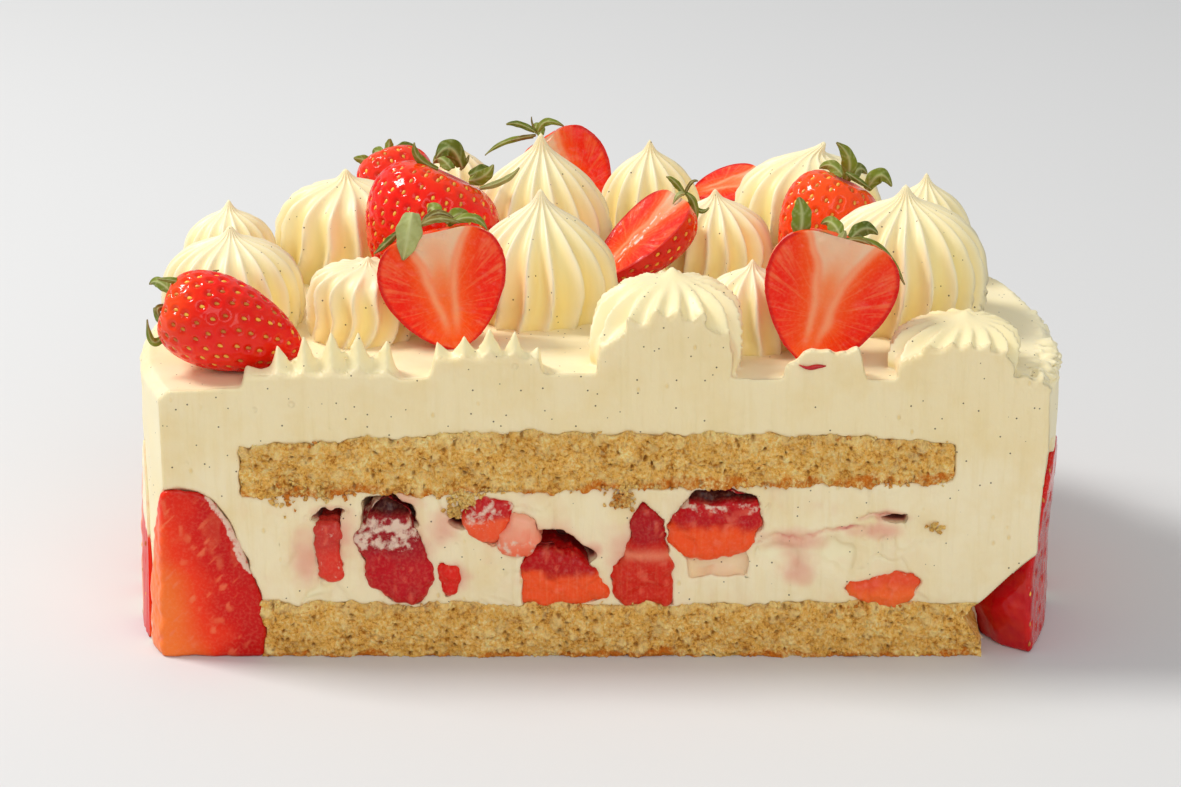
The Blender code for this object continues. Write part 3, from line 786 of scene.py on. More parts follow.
@dataclass(frozen=True)
class SeedFinish:
    """Golden seeds, some of them browner."""
    golden: Colour = tone(252, 196, 66)
    brown: Colour = tone(198, 112, 28)

    def make(self) -> Material:
        """The material."""
        paint = Paint("strawberry_seed")
        colour = paint.glazed(self.golden,
                              (self.brown, paint.rise(paint.noise(160.0, 2.0), 0.42, 0.62), 1.0))
        return paint.finish(colour, Normal=paint.relief((paint.noise(2500.0), 0.00005, 1.0)),
                            Roughness=0.35)


@dataclass(frozen=True)
class LeafFinish:
    """Strawberry leaves: green, paler along the veins and brown at places."""
    brown: Colour = tone(138, 134, 40)
    vein: Colour = tone(206, 210, 150)

    def make(self) -> Material:
        """The material."""
        paint = Paint("strawberry_leaf")
        tint, vein = paint.colour("tint"), paint.value("vein")
        colour = paint.glazed(tint,
                              (self.brown, paint.rise(paint.noise(420.0, 4.0), 0.4, 0.7), 1.0),
                              (tint, 0.6, 1.0), (self.vein, vein, 0.6))
        normal = paint.relief((vein, 0.0002, 0.6), (paint.noise(1400.0), 0.00012, 0.6))
        return paint.finish(colour, Normal=normal, Roughness=0.6, Specular_IOR_Level=0.2)


@dataclass(frozen=True)
class FloorFinish:
    """A plain pale floor."""

    def make(self) -> Material:
        """The material."""
        paint = Paint("floor")
        colour = paint.glazed((0.70, 0.70, 0.70), ((0.72, 0.72, 0.72), paint.noise(2.0), 1.0))
        return paint.finish(colour, Roughness=0.8, Specular_IOR_Level=0.2)


@dataclass(frozen=True)
class Looks:
    """Every material of the cake."""
    cream: Material
    crumb: Material
    skin: Material
    flesh: Material
    seed: Material
    leaf: Material


# Piped cream

# How wide a kiss is along its height, from under its foot to its tip
KISS_LINE = ((0.0, -0.07), (0.55, -0.07), (0.86, -0.055), (0.945, 0.02), (0.985, 0.13), (1.0, 0.24),
             (0.97, 0.35), (0.88, 0.46), (0.745, 0.56), (0.60, 0.645), (0.46, 0.715), (0.33, 0.775),
             (0.22, 0.83), (0.13, 0.88), (0.07, 0.935), (0.025, 0.985), (0.0, 1.0))
DOME_LINE = ((0.0, -0.07), (0.55, -0.07), (0.86, -0.055), (0.945, 0.02), (0.985, 0.13), (1.0, 0.26),
             (0.985, 0.40), (0.94, 0.52), (0.86, 0.63), (0.745, 0.71), (0.60, 0.775), (0.44, 0.82),
             (0.29, 0.855), (0.165, 0.89), (0.085, 0.935), (0.03, 0.985), (0.0, 1.0))
# How deep a kiss's hollows are along its height, against its usual depth
FLUTES = ((0.0, 0.12, 0.3, 0.6, 0.9, 1.0), (0.55, 1.0, 1.05, 1.0, 1.1, 0.6))
# From this roundness of its shoulders on a kiss is piped a little wider than its node
ROUND_DOME = 0.85


@dataclass
class Kiss:
    """A piped kiss with thin crests and broad hollows.

    node is the CAD node that it stands for, twist is in degrees, lean and hook move the tip
    along x, back moves it along y, flute is how deep the hollows are against the radius and
    dome how round its shoulders are, from 0 up. soft is how broad the crests are and wide how
    much wider it is than others of its kind. around is its faces to a ridge, and rings its rows
    from foot to tip.
    """
    node: str
    ridges: int
    twist: float
    lean: float = 0.0
    hook: float = 0.0
    flute: float = 0.17
    seed: int = 0
    dome: float = 0.5
    back: float = 0.0
    around: int = 10
    rings: int = 60
    soft: float = 0.16
    wide: float = 1.0

    def shape(self, name: str, middle: Pair, foot: float, radius: float, height: float) -> Piece:
        """Pipe the kiss.

        Args:
            name: Name of the piece.
            middle: Its x and y.
            foot: Height of what it stands on.
            radius: Its widest radius.
            height: Height of its tip over its foot.
        Returns:
            The closed mesh.
        """
        piece, share, turn = ball(name, self.ridges * self.around, self.rings)
        slim, round_line = (line_through(knots, radius, height) for knots in (KISS_LINE, DOME_LINE))
        reach, level = along(slim * (1.0 - self.dome) + round_line * self.dome, share)
        up = np.clip(level / height, 0.0, 1.0)
        ring = ring_places(turn, 1.3 * up)
        wander = waves(ring, (0.07, 0.9, self.seed), (0.022, 0.33, self.seed + 1))
        swirl = math.radians(self.twist) * (up + 0.22 * np.sin(2.0 * math.pi * up))
        phase = 0.5 * self.ridges * (turn + wander - swirl)
        valley = np.abs(np.sin(phase + 0.22 * np.sin(2.0 * phase)))
        hollow = np.sqrt(valley ** 2 + self.soft ** 2) - self.soft
        hollow /= math.sqrt(1.0 + self.soft ** 2) - self.soft
        deep = (self.flute * np.interp(up, *FLUTES)
                * (1.0 + 0.25 * smooth_noise(ring, 0.5, self.seed + 2)))
        reach = (reach * (1.0 + 0.035 * smooth_noise(ring, 1.1, self.seed + 3))
                 * (1.0 - deep * hollow))
        bend = self.lean * up ** 2 + self.hook * rise(up, 0.84, 0.16)
        drop = 0.10 * abs(self.hook) * rise(up, 0.88, 0.12)
        ripple = 0.012 * height * smooth_noise(ring, 0.4, self.seed + 4) * (1.0 - up)
        sunk = np.where(level < 0.0, level - 0.0004, level)
        move_points(piece, np.stack([middle[0] + reach * np.cos(turn) + bend,
                                     middle[1] + reach * np.sin(turn) + self.back * up ** 1.5,
                                     foot + sunk - drop + ripple], 1))
        # Painted shade: the hollows are tinted yellower, most towards the foot and least near the
        # tip
        shade = (1.0 - 0.7 * rise(up, 0.5, 0.4)) * (0.75 + 0.25 * (1.0 - up))
        store(piece, hollow=hollow ** 1.5 * shade, cut=0.0)
        return piece

    def build(self, looks: Looks) -> None:
        """Pipe the whole kiss where its node stands."""
        low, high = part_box(self.node)
        middle = (0.5 * (low.x + high.x), 0.5 * (low.y + high.y))
        radius = 0.25 * (high.x - low.x + high.y - low.y)
        radius *= (1.07 if self.dome > ROUND_DOME else 1.03) * self.wide
        finish_piece(self.shape("piped_" + self.node, middle, low.z, radius, high.z - low.z),
                     looks.cream, [self.node])


KISSES = (
    Kiss("kiss_left_front", 19, 12, 0.0, 0.0, 0.15, 11, 0.95),
    Kiss("kiss_left_back", 16, -10, 0.0, 0.0, 0.15, 12, 0.95),
    Kiss("kiss_left_tall", 15, 32, -0.0008, 0.0, 0.17, 13, 1.1, wide=1.03),
    Kiss("kiss_small_left", 16, 24, 0.0006, 0.0, 0.16, 14, 1.9),
    Kiss("kiss_middle", 17, 12, 0.0, 0.0, 0.20, 15, 0.25),
    Kiss("kiss_middle_back", 17, 14, 0.0004, 0.0, 0.18, 16, 0.3),
    Kiss("kiss_far_left", 12, 12, 0.0, 0.0, 0.16, 17),
    Kiss("kiss_far_right", 14, -8, 0.0, 0.0, 0.16, 18, 0.6),
    Kiss("kiss_right_middle", 16, 16, -0.0008, 0.0, 0.17, 19, 0.6),
    Kiss("kiss_small_right", 13, -10, 0.0, 0.0, 0.18, 20, 0.9),
    Kiss("kiss_right_back", 16, 20, 0.0002, 0.0030, 0.16, 21, 0.9),
    Kiss("kiss_right_tall", 21, 16, 0.0, 0.0, 0.16, 22, 0.95),
    Kiss("kiss_right_far", 14, 10, 0.0, 0.0, 0.15, 23, 0.6),
)

# Shares of the way round a rim at which its plain front and its scooped front end
PLAIN_END, SCOOP_END = 0.2, 0.55


@dataclass
class Rim:
    """The rim that is left of a kiss whose middle stood before the cut, scooped in front.

    teeth are places (x, z) in millimetres along the cut: foot, then crest, valley, crest and so
    on, then foot. scoop is the height where the front starts to lean back, lean how far its edge
    is behind the cut, deep how deep the hollows between the teeth are and depth how far back it
    reaches.
    """
    node: str
    teeth: tuple[Pair, ...]
    scoop: float
    lean: float
    deep: float
    depth: float
    across: int = 200
    round: int = 40

    def crest(self, x: Array) -> tuple[Array, Array]:
        """Height of the edge at x, and how near a tooth's tip it is, from 0 to 1."""
        knots = np.array(self.teeth) * MM
        place = np.clip(np.searchsorted(knots[:, 0], x) - 1, 0, len(knots) - 2)
        share = (x - knots[place, 0]) / (knots[place + 1, 0] - knots[place, 0])
        near = np.where(place % 2 == 0, share, 1.0 - share)
        low = knots[place + place % 2, 1]
        high = knots[place + 1 - place % 2, 1]
        return low + (high - low) * near ** 1.35 + 0.0004 * near ** 2, near

    def shape(self) -> Piece:
        """The rim as a closed band that follows its teeth."""
        x = np.linspace(self.teeth[0][0], self.teeth[-1][0], self.across) * MM
        high, near = self.crest(x)
        foot = top_height(x) - 0.0012
        high = np.maximum(high, foot + 0.0002)
        start = np.minimum(self.scoop * MM, high - 0.0004)
        rows = []
        for t in np.linspace(0.0, 1.0, self.round):
            if t < PLAIN_END:
                y, z = np.zeros(len(x)), foot + (start - foot) * t / PLAIN_END
            elif t < SCOOP_END:
                part = (t - PLAIN_END) / (SCOOP_END - PLAIN_END)
                bay = self.deep * math.sin(math.pi * min(1.0, 0.9 * part)) * (1.0 - near ** 0.8)
                y = self.lean * part ** 0.8 + bay
                z = start + (high - start) * part
            else:
                part = math.radians(90.0 * (t - SCOOP_END) / (1.0 - SCOOP_END))
                flute = 1.0 - 0.28 * (1.0 - near) * math.sin(2.0 * part)
                y = self.lean + (self.depth - self.lean) * math.sin(part) * flute
                z = foot + (high - foot) * math.cos(part) * flute
            rows.append(np.stack([x, CUT + y, z], 1))
        count, last = self.across, self.across - 1
        faces = [[row * count + k, row * count + k + 1, (row + 1) % self.round * count + k + 1,
                  (row + 1) % self.round * count + k] for row in range(self.round)
                 for k in range(last)]
        starts = range(0, self.round * count, count)
        faces += [list(starts), [row + last for row in reversed(starts)]]
        piece = piece_of("rim_" + self.node, np.vstack(rows), faces)
        with editing(piece):
            bpy.ops.mesh.normals_make_consistent(inside=False)
        return piece


RIMS = (
    Rim("stump_left", ((-73.4, 62.0), (-73.0, 64.7), (-68.2, 64.7), (-66.2, 69.5), (-62.8, 66.4),
                       (-60.6, 71.8), (-57.7, 67.0), (-54.9, 72.8), (-52.1, 68.2), (-49.2, 72.4),
                       (-46.5, 67.2), (-43.1, 70.4), (-41.2, 64.0)), 63.4, 0.0026, 0.0024, 0.0062),
    Rim("stump_middle", ((-34.9, 63.0), (-33.0, 70.9), (-29.8, 69.2), (-27.2, 71.9), (-24.6, 69.7),
                         (-21.9, 73.6), (-19.1, 69.6), (-16.6, 72.9), (-14.2, 68.3), (-11.6, 69.8),
                         (-10.5, 64.0)), 66.8, 0.0018, 0.0014, 0.0064),
)

# Pink of the fruit in the cream: x, z, half width and half height
STAINS = (
    (-0.0613, 0.0228, 0.0052, 0.0100), (-0.0540, 0.0280, 0.0070, 0.0070),
    (-0.0410, 0.0250, 0.0100, 0.0120), (-0.0300, 0.0185, 0.0045, 0.0045),
    (-0.0320, 0.0295, 0.0060, 0.0060), (-0.0100, 0.0270, 0.0110, 0.0060),
    (0.0085, 0.0240, 0.0080, 0.0120), (0.0260, 0.0270, 0.0110, 0.0040),
    (0.0420, 0.0270, 0.0110, 0.0040), (0.0430, 0.0210, 0.0060, 0.0060),
    (0.0600, 0.0290, 0.0080, 0.0030), (0.0620, 0.0150, 0.0090, 0.0040),
    (0.0625, 0.0320, 0.0062, 0.0022), (-0.0006, 0.0245, 0.0030, 0.0030),
    (-0.0294, 0.0309, 0.0030, 0.0016), (-0.0562, 0.0331, 0.0052, 0.0020),
    (-0.0410, 0.0352, 0.0070, 0.0034), (0.0256, 0.0372, 0.0060, 0.0020),
)
# Prints that fruit has left in the cream: x, z, half width and half height
PRINTS = (
    (-0.0608, 0.0228, 0.0042, 0.0086), (0.0400, 0.0232, 0.0060, 0.0056),
    (0.0530, 0.0240, 0.0075, 0.0050),
)
# Thin pink cracks in the cream: x from and to, z from and to
CRACKS = (
    (0.0335, 0.0400, 0.0262, 0.0274), (0.0385, 0.0490, 0.0268, 0.0296),
    (0.0465, 0.0580, 0.0290, 0.0300), (0.0550, 0.0660, 0.0322, 0.0330),
    (-0.0280, -0.0190, 0.0322, 0.0300),
)


@dataclass
class CreamBody:
    """The body of cream with what is joined to it at the cut: two cut kisses and three rims."""
    voxel: float = 0.00046
    squeeze: float = 0.7
    triangles: int = 195000
    # Each cut kiss, how far behind the cut its foot's middle is, its radius and its tip's height
    cut_kisses: tuple[tuple[Kiss, float, float, float], ...] = (
        (Kiss("cut_kiss_middle", 16, 14, 0.0014, 0.0, 0.31, 31, 1.5, 0.0100, 18, 110, 0.55), 0.0066,
         0.0166, 0.0832),
        (Kiss("cut_kiss_right", 16, 10, 0.0034, 0.0, 0.31, 32, 1.6, 0.0080, 18, 110, 0.55), 0.0060,
         0.0142, 0.0739),
    )
    # Outline of the ragged block on the right, from its left foot to its right one, and its depth
    block: tuple[Pair, ...] = ((-0.0086, -0.0030), (-0.0088, 0.0016), (-0.0080, 0.0030),
                               (-0.0062, 0.0036), (-0.0050, 0.0056), (-0.0030, 0.0064),
                               (-0.0012, 0.0058), (0.0008, 0.0062), (0.0020, 0.0050),
                               (0.0034, 0.0058), (0.0050, 0.0056), (0.0062, 0.0070),
                               (0.0072, 0.0066), (0.0078, 0.0040), (0.0086, 0.0006),
                               (0.0088, -0.0030))
    block_depth: float = 0.0046
    # Steps back of the block: the share of its depth and the size against the step before
    block_steps: tuple[Pair, ...] = ((0.35, 0.97), (0.40, 0.90), (0.25, 0.72))

    def cut_kiss(self, kiss: Kiss, behind: float, radius: float, tip: float) -> list[Piece]:
        """A kiss that leans back and that the knife went through, and the smooth bell at its cut.

        Args:
            kiss: The kiss.
            behind: How far behind the cut its foot's middle is.
            radius: Its widest radius.
            tip: Height of its tip.
        Returns:
            Both, open nowhere and ending at the cut.
        """
        low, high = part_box(kiss.node)
        middle, foot, height = 0.5 * (low.x + high.x), low.z - 0.0004, tip - low.z
        inner = Kiss(kiss.node, kiss.ridges, 0.0, 0.7 * kiss.lean, 0.0, 0.0, kiss.seed, 0.3,
                     0.4 * kiss.back, 8, 50)
        pieces = [kiss.shape("piped_" + kiss.node, (middle, CUT + behind), foot, radius, height),
                  inner.shape("bell", (middle, CUT + behind - 0.0025), foot, 0.88 * radius,
                              0.84 * height)]
        for piece in pieces:
            keep_behind(piece, CUT)
        return pieces

    def ragged_block(self) -> Piece:
        """The ragged block of cream on the right, extruded from its outline at the cut."""
        low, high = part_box("stump_right")
        middle = Vector((0.5 * (low.x + high.x), CUT, low.z))
        outline = [(middle.x + x, CUT, middle.z + z) for x, z in self.block]
        piece = piece_of("block", outline, [range(len(outline))])
        with editing(piece):
            for share, size in self.block_steps:
                step = {"value": (0.0, self.block_depth * share, 0.0)}
                bpy.ops.mesh.extrude_region_move(TRANSFORM_OT_translate=step)
                bpy.ops.transform.resize(value=(size, 1.0, size),
                                         center_override=middle - Vector((0.0, 0.0, 0.003)))
            bpy.ops.mesh.select_all(action="SELECT")
            bpy.ops.mesh.normals_make_consistent(inside=False)
        return piece

    def cracks(self, at: Array) -> Array:
        """How much each place lies in one of the thin crooked cracks, from 0 to 1."""
        x, _y, z = at.T
        bent = z + waves(at[:, (0, 2)], (0.0011, 0.005, 66), (0.0004, 0.0014, 67))
        most = np.zeros(len(at))
        for left, right, low, high in CRACKS:
            part = (x - left) / (right - left)
            inside = rise(part, 0.0, 0.15) * rise(part, 1.0, -0.15)
            most = np.maximum(most, bell(bent - low - (high - low) * part, 0.0005) * inside)
        return most

    def relief(self, piece: Piece) -> None:
        """The knife's marks, a ragged rim and the gentle unevenness of the top and wall."""
        at, normal = points_of(piece), normals_of(piece)
        x, y, z = at.T
        front = rise(y, CUT + 0.0007, -0.0004) * rise(normal[:, 1], -0.35, -0.4)
        out = at[:, :2] - RING_MIDDLE
        radius = np.linalg.norm(out, axis=1)
        theta = np.arctan2(out[:, 1], out[:, 0])
        rim = rise(radius, RING_RADIUS - 0.0060, 0.0030) * rise(z, top_height(x) - 0.0045, 0.0035)
        size = 0.00035 + 0.0019 * bell(theta - math.radians(-18), math.radians(26))
        flake = (np.abs(smooth_noise(at, 0.0023, 51))
                 + 0.6 * np.abs(smooth_noise(at, 0.0011, 52)) - 0.45)
        at[:, :2] += out / radius[:, None] * (rim * size * flake)[:, None]
        z += rim * 0.5 * size * smooth_noise(at, 0.0018, 53)
        skin = rise(z, 0.003, 0.004) * (1.0 - rim)
        open_air = ((z > top_height(x) - 0.002) | (radius > RING_RADIUS - 0.0040)) & (front < 0.1)
        at += normal * (waves(at, (0.00035, 0.011, 54), (0.00014, 0.0042, 55)) * skin
                        * open_air)[:, None]
        at += uneven(at)
        flat = at[:, (0, 2)]
        marks = (0.00014 * smooth_noise(flat * (1.0, 0.22), 0.0016, 56)
                 + 0.00024 * smooth_noise(flat, 0.008, 57))
        fold = np.abs(smooth_noise(flat * (1.0, 1.7), 0.011, 72)
                      + 0.3 * smooth_noise(flat, 0.003, 73))
        crease = (np.clip(1.0 - fold / 0.07, 0.0, 1.0)
                  * rise(smooth_noise(flat, 0.014, 74), -0.1, 0.3))
        inner = rise(z, 0.044, -0.004) * rise(np.abs(x), 0.076, -0.006)
        prints = smoothstep((1.2 - nearest_oval(flat, PRINTS) + 0.5 * smooth_noise(flat, 0.005, 76))
                            / 0.9)
        y += front * (marks + 0.00010 + 0.00042 * crease * (0.35 + 0.65 * inner)
                      + 0.0007 * self.cracks(at) + 0.00045 * inner * smooth_noise(flat, 0.0045, 75)
                      + 0.0011 * prints)
        move_points(piece, at)

    def colours(self, piece: Piece) -> None:
        """Where the cut is, where the fruit has stained the cream, and the painted shade that makes
        the cream yellower above the top and most where it faces down.
        """
        at, normal = points_of(piece), normals_of(piece)
        x, y, z = at.T
        front = rise(y, CUT + 0.0010, -0.0005) * rise(normal[:, 1], -0.30, -0.4)
        near = np.minimum(1.0, nearest_oval(at[:, (0, 2)], STAINS))
        blotch = waves(at, (0.22, 0.004, 58), (0.14, 0.0016, 59))
        stain = 0.40 * smoothstep((1.0 - near + blotch) / 0.9)
        stain = np.maximum(stain, 0.62 * self.cracks(at) * (0.7 + 2.5 * blotch))
        # Pockets behind the cut near the fruit: juice stain darkened to crimson as painted shade
        inside = rise(y, CUT + 0.0012, 0.003) * rise(near, 1.05, -0.3)
        below = (z < 0.041) & (y < CUT + 0.022) & (np.abs(x) < 0.078)
        # Painted shade: the cream above the top is tinted yellower, more where it faces down
        dip = np.clip(-normal[:, 2] * 0.4 + 0.15, 0.0, 0.4)
        over = (z > top_height(x) + 0.001) & (front < 0.5)
        store(piece, stain=np.where(below, np.maximum(stain, 0.92 * inside), 0.0), cut=front,
              hollow=np.where(over, 0.25 + dip, 0.10))

    def build(self, looks: Looks) -> None:
        """Join, skin, relieve and dress the body."""
        kisses = [piece for given in self.cut_kisses for piece in self.cut_kiss(*given)]
        parts = [node_copy("cream", "cream_body"), *kisses, *(rim.shape() for rim in RIMS),
                 self.ragged_block()]
        piece = joined(parts, "cream_body")
        new_skin(piece, self.voxel, 3, self.squeeze)
        for name in ("hollow", "cut"):
            if name in piece.data.attributes:
                piece.data.attributes.remove(piece.data.attributes[name])
        x, y, z = points_of(piece).T
        soften(piece, 9, (y < CUT + 0.0032) & (z > top_height(x) + 0.0014))
        self.relief(piece)
        x, y, z = points_of(piece).T
        thin_out(piece, self.triangles,
                 (y < CUT + 0.003) & (z > 0.012) & (z < 0.041) & (np.abs(x) < 0.074))
        self.colours(piece)
        nodes = [given[0].node for given in self.cut_kisses] + [rim.node for rim in RIMS]
        finish_piece(piece, looks.cream, ["cream", *nodes, "stump_right"])


# Sponge


@dataclass
class SpongeLayer:
    """One layer of sponge: open crumb on the cut face and a browned underside.

    middle and half give its middle and half its length along the cut, lowest says that it is
    the layer on the floor.
    """
    node: str
    middle: float
    half: float
    seed: int
    lowest: bool
    voxel: float = 0.00027
    squeeze: float = 0.05
    triangles: int = 150000
    # How far from an edge the crumb still reaches out over it
    reach: float = 0.0014

    def crumb(self, piece: Piece) -> None:
        """Grains and pores on the cut face, and ragged edges."""
        at, seed, reach = points_of(piece), self.seed, self.reach
        x, y, z = at.T
        flat = at[:, (0, 2)]
        near, kind = grains(flat, 0.00070, seed)
        hole, which = grains(flat, 0.0023, seed + 1)
        tiny, _value = grains(flat, 0.0013, seed + 2)
        big, choice = grains(flat, 0.0034, seed + 11)
        lump = rise(big, 0.42, -0.30) * (choice > 0.72)
        front = rise(y, CUT + 0.0012, -0.0006)
        pore = (rise(hole, 0.24, -0.16) * (which > 0.66)
                + 0.45 * rise(tiny, 0.20, -0.14) * (kind > 0.4))
        bump = 0.00054 * np.clip(1.0 - near / 0.8, 0.0, 1.0) * (0.4 + 1.2 * kind)
        bump += waves(flat, (0.00045, 0.0030, seed + 3), (0.00022, 0.0006, seed + 8))
        height = z - (0.0 if self.lowest else upper_foot(x))
        under = (LOWER_TOP if self.lowest else upper_top(x)) - z
        beside = x - self.middle
        within = self.half - np.abs(beside)
        border = np.minimum(np.minimum(height + 0.0006, under), within)
        sunk = 0.00040 * smoothstep((0.0009 + 0.0008 * smooth_noise(flat, 0.0022, seed + 9)
                                     - border) / 0.0007)
        y -= front * (bump + 0.00045 * lump - 0.0008 * pore * (1.0 - lump) - 0.00005 - sunk)
        grow = 0.00085 + waves(at, (0.00035, 0.0015, seed + 4), (0.00030, 0.0007, seed + 5))
        z += grow * rise(under, reach, -reach)
        if not self.lowest:
            z -= (grow + 0.0001) * rise(height, reach, -reach)
        x += np.sign(beside) * 0.85 * grow * rise(within, reach, -reach)
        at += uneven(at)
        if self.lowest:
            x += 0.0013 * rise(x, 0.0780, 0.002) * rise(z, 0.0100, -0.006)
            z[:] = np.maximum(z, 0.0)
        move_points(piece, at)
        brown = 0.0012 + waves(at, (0.0016, 0.007, seed + 6), (0.0008, 0.0018, seed + 7))
        creamy = smoothstep((0.0010 + 0.0010 * smooth_noise(flat, 0.003, seed + 10) - under)
                            / 0.0008)
        grain = np.maximum(np.maximum(rise(kind, 0.55, 0.35), 1.2 * creamy), 1.5 * lump)
        # pore also darkens the pores in the colour, as painted shade
        store(piece, browned=smoothstep((brown - height) / 0.0008),
              pore=np.clip(pore * front, 0.0, 1.0) * 0.62, grain=grain * front)

    def build(self, looks: Looks) -> None:
        """Skin the layer finely along its cut, then crumble it."""
        piece = node_copy(self.node, "crumb_" + self.node)
        new_skin(piece, self.voxel, 0, self.squeeze)
        self.crumb(piece)
        thin_out(piece, self.triangles)
        finish_piece(piece, looks.crumb, [self.node])


@dataclass
class LooseCrumbs:
    """Crumbs that the knife pulled out along the layers, and clusters of them in the cream."""
    count: int = 420
    # x, z, spread and number of the crumbs of each cluster
    clusters: tuple[tuple[float, float, float, int], ...] = (
        (-0.0276, 0.0364, 0.0015, 90), (-0.0293, 0.0331, 0.0009, 40), (0.0057, 0.0361, 0.0014, 80),
        (0.0062, 0.0385, 0.0008, 30), (0.0720, 0.0299, 0.0008, 20), (-0.0640, 0.0374, 0.0030, 60),
        (-0.0560, 0.0384, 0.0020, 30),
    )

    def places(self, random: np.random.Generator) -> list[Place]:
        """x, z and size of each crumb.

        Args:
            random: Where the random numbers come from.
        Returns:
            The rows.
        """
        rows = []
        for _ in range(self.count):
            x = random.uniform(-0.0705, 0.0745)
            line = random.integers(0, 4)
            low = upper_foot(x)
            z = (low - abs(random.normal(0.0, 0.0006)), upper_top(x) + random.normal(0.0, 0.0003),
                 LOWER_TOP + random.normal(0.0, 0.0004), low)[line]
            rows.append((x, z, random.uniform(0.00016, 0.00046)))
        for x, z, spread, count in self.clusters:
            rows += [(x + random.normal(0, spread), z + random.normal(0, 0.6 * spread),
                      random.uniform(0.00018, 0.00062)) for _ in range(count)]
        return rows

    def build(self, looks: Looks) -> None:
        """Scatter the crumbs in one joined piece."""
        random = np.random.default_rng(7)
        places = []
        for x, z, size in self.places(random):
            axes = np.linalg.qr(random.normal(size=(3, 3)))[0]
            if np.linalg.det(axes) < 0.0:
                axes[0] *= -1.0
            axes = axes * (size * random.uniform(0.5, 1.35, 3))[:, None]
            places.append(np.vstack([axes,
                                     (x, CUT - 0.25 * size * random.uniform(-0.6, 1.0),
                                      max(z, size))]))
        piece = scattered("crumbs", 6, places)
        at = points_of(piece)
        at += 0.00028 * np.stack([smooth_noise(at, 0.00034, 60 + k) for k in range(3)], 1)
        move_points(piece, at)
        store(piece, browned=rise(smooth_noise(at, 0.004, 64), -0.10, 0.7), pore=0.0,
              grain=0.4 + 0.9 * smoothstep(smooth_noise(at, 0.002, 65)))
        finish_piece(piece, looks.crumb)


# Strawberries

# How wide a berry is along its length, from its tip to the dip under its cap
BERRY_LINE = ((0.0, 0.0), (0.13, 0.015), (0.26, 0.05), (0.42, 0.105), (0.56, 0.175), (0.70, 0.26),
              (0.82, 0.36), (0.92, 0.46), (0.985, 0.58), (1.0, 0.68), (0.97, 0.78), (0.88, 0.88),
              (0.72, 0.955), (0.52, 0.995), (0.34, 1.0), (0.18, 0.975), (0.0, 0.96))
# The same for a half that stands at the wall on its flat foot
WALL_LINE = ((0.0, 0.0), (0.5, 0.0), (0.93, 0.0), (1.0, 0.16), (0.95, 0.38), (0.79, 0.58),
             (0.52, 0.78), (0.27, 0.92), (0.10, 0.985), (0.0, 1.0))

RED = tone(246, 26, 6)
DEEP_RED = tone(216, 6, 6)
ORANGE = tone(254, 92, 20)
# How far the sine of a turn is from 0 where a place is past the rim of a half
SIDE = 1e-4


class Kind(Enum):
    """How much of a strawberry there is."""
    WHOLE = "whole"
    HALF = "half"


@dataclass
class SeedBag:
    """Collects where every seed lies, and makes them one piece.

    wide and thick are against a seed's length, taper is how much narrower its end is.
    """
    wide: float = 0.62
    thick: float = 0.42
    taper: float = 0.35
    places: list[Array] = field(default_factory=list)

    def add(self, place: Array, outward: Array, lengthwise: Array, size: float) -> None:
        """Lay one seed.

        Args:
            place: Where its middle is.
            outward: The skin's normal there.
            lengthwise: The way to the berry's tip.
            size: Half its length.
        """
        up = outward / np.linalg.norm(outward)
        long = lengthwise - up * (lengthwise @ up)
        long = long / np.linalg.norm(long)
        across = np.cross(long, up)
        self.places.append(np.vstack([across * self.wide * size, up * self.thick * size,
                                      long * size, place]))

    def build(self, looks: Looks) -> None:
        """Join all the seeds."""
        finish_piece(scattered("seeds", 5, self.places, self.taper), looks.seed)


def dimples(points: Array, normals: Array, spots: Array, width: float,
            deep: float) -> tuple[Array, Array]:
    """Press a dimple with a soft rim into a skin at each seed.

    Args:
        points: Places of the skin's vertices.
        normals: Their normals.
        spots: Places of the seeds.
        width: Radius of a dimple.
        deep: Its depth.
    Returns:
        The moved places, and how deep in a dimple each one is, from 0 to 1.
    """
    near = np.concatenate([np.sqrt(((points[start:start + 4000, None, :]
                                     - spots) ** 2).sum(2).min(1))
                           for start in range(0, len(points), 4000)])
    pressed = bell(near, width)
    rim = bell(near - 1.9 * width, 0.55 * width)
    return points + normals * (deep * (0.25 * rim - pressed))[:, None], pressed


def dress_half(piece: Piece, turn: Array, looks: Looks, nodes: Sequence[str]) -> None:
    """Finish a half with flesh on its cut face and skin round it.

    Args:
        piece: The half.
        turn: Each vertex's turn round its middle.
        looks: The finishes.
        nodes: CAD nodes that it replaces.
    """
    piece.data.materials.append(looks.flesh)
    piece.data.materials.append(looks.skin)
    middles = np.array([np.mean(np.sin(turn[list(face.vertices)])) for face in piece.data.polygons])
    piece.data.polygons.foreach_set("material_index", (middles >= 0.0).astype(np.int32))
    finish_piece(piece, None, nodes, 50.0)


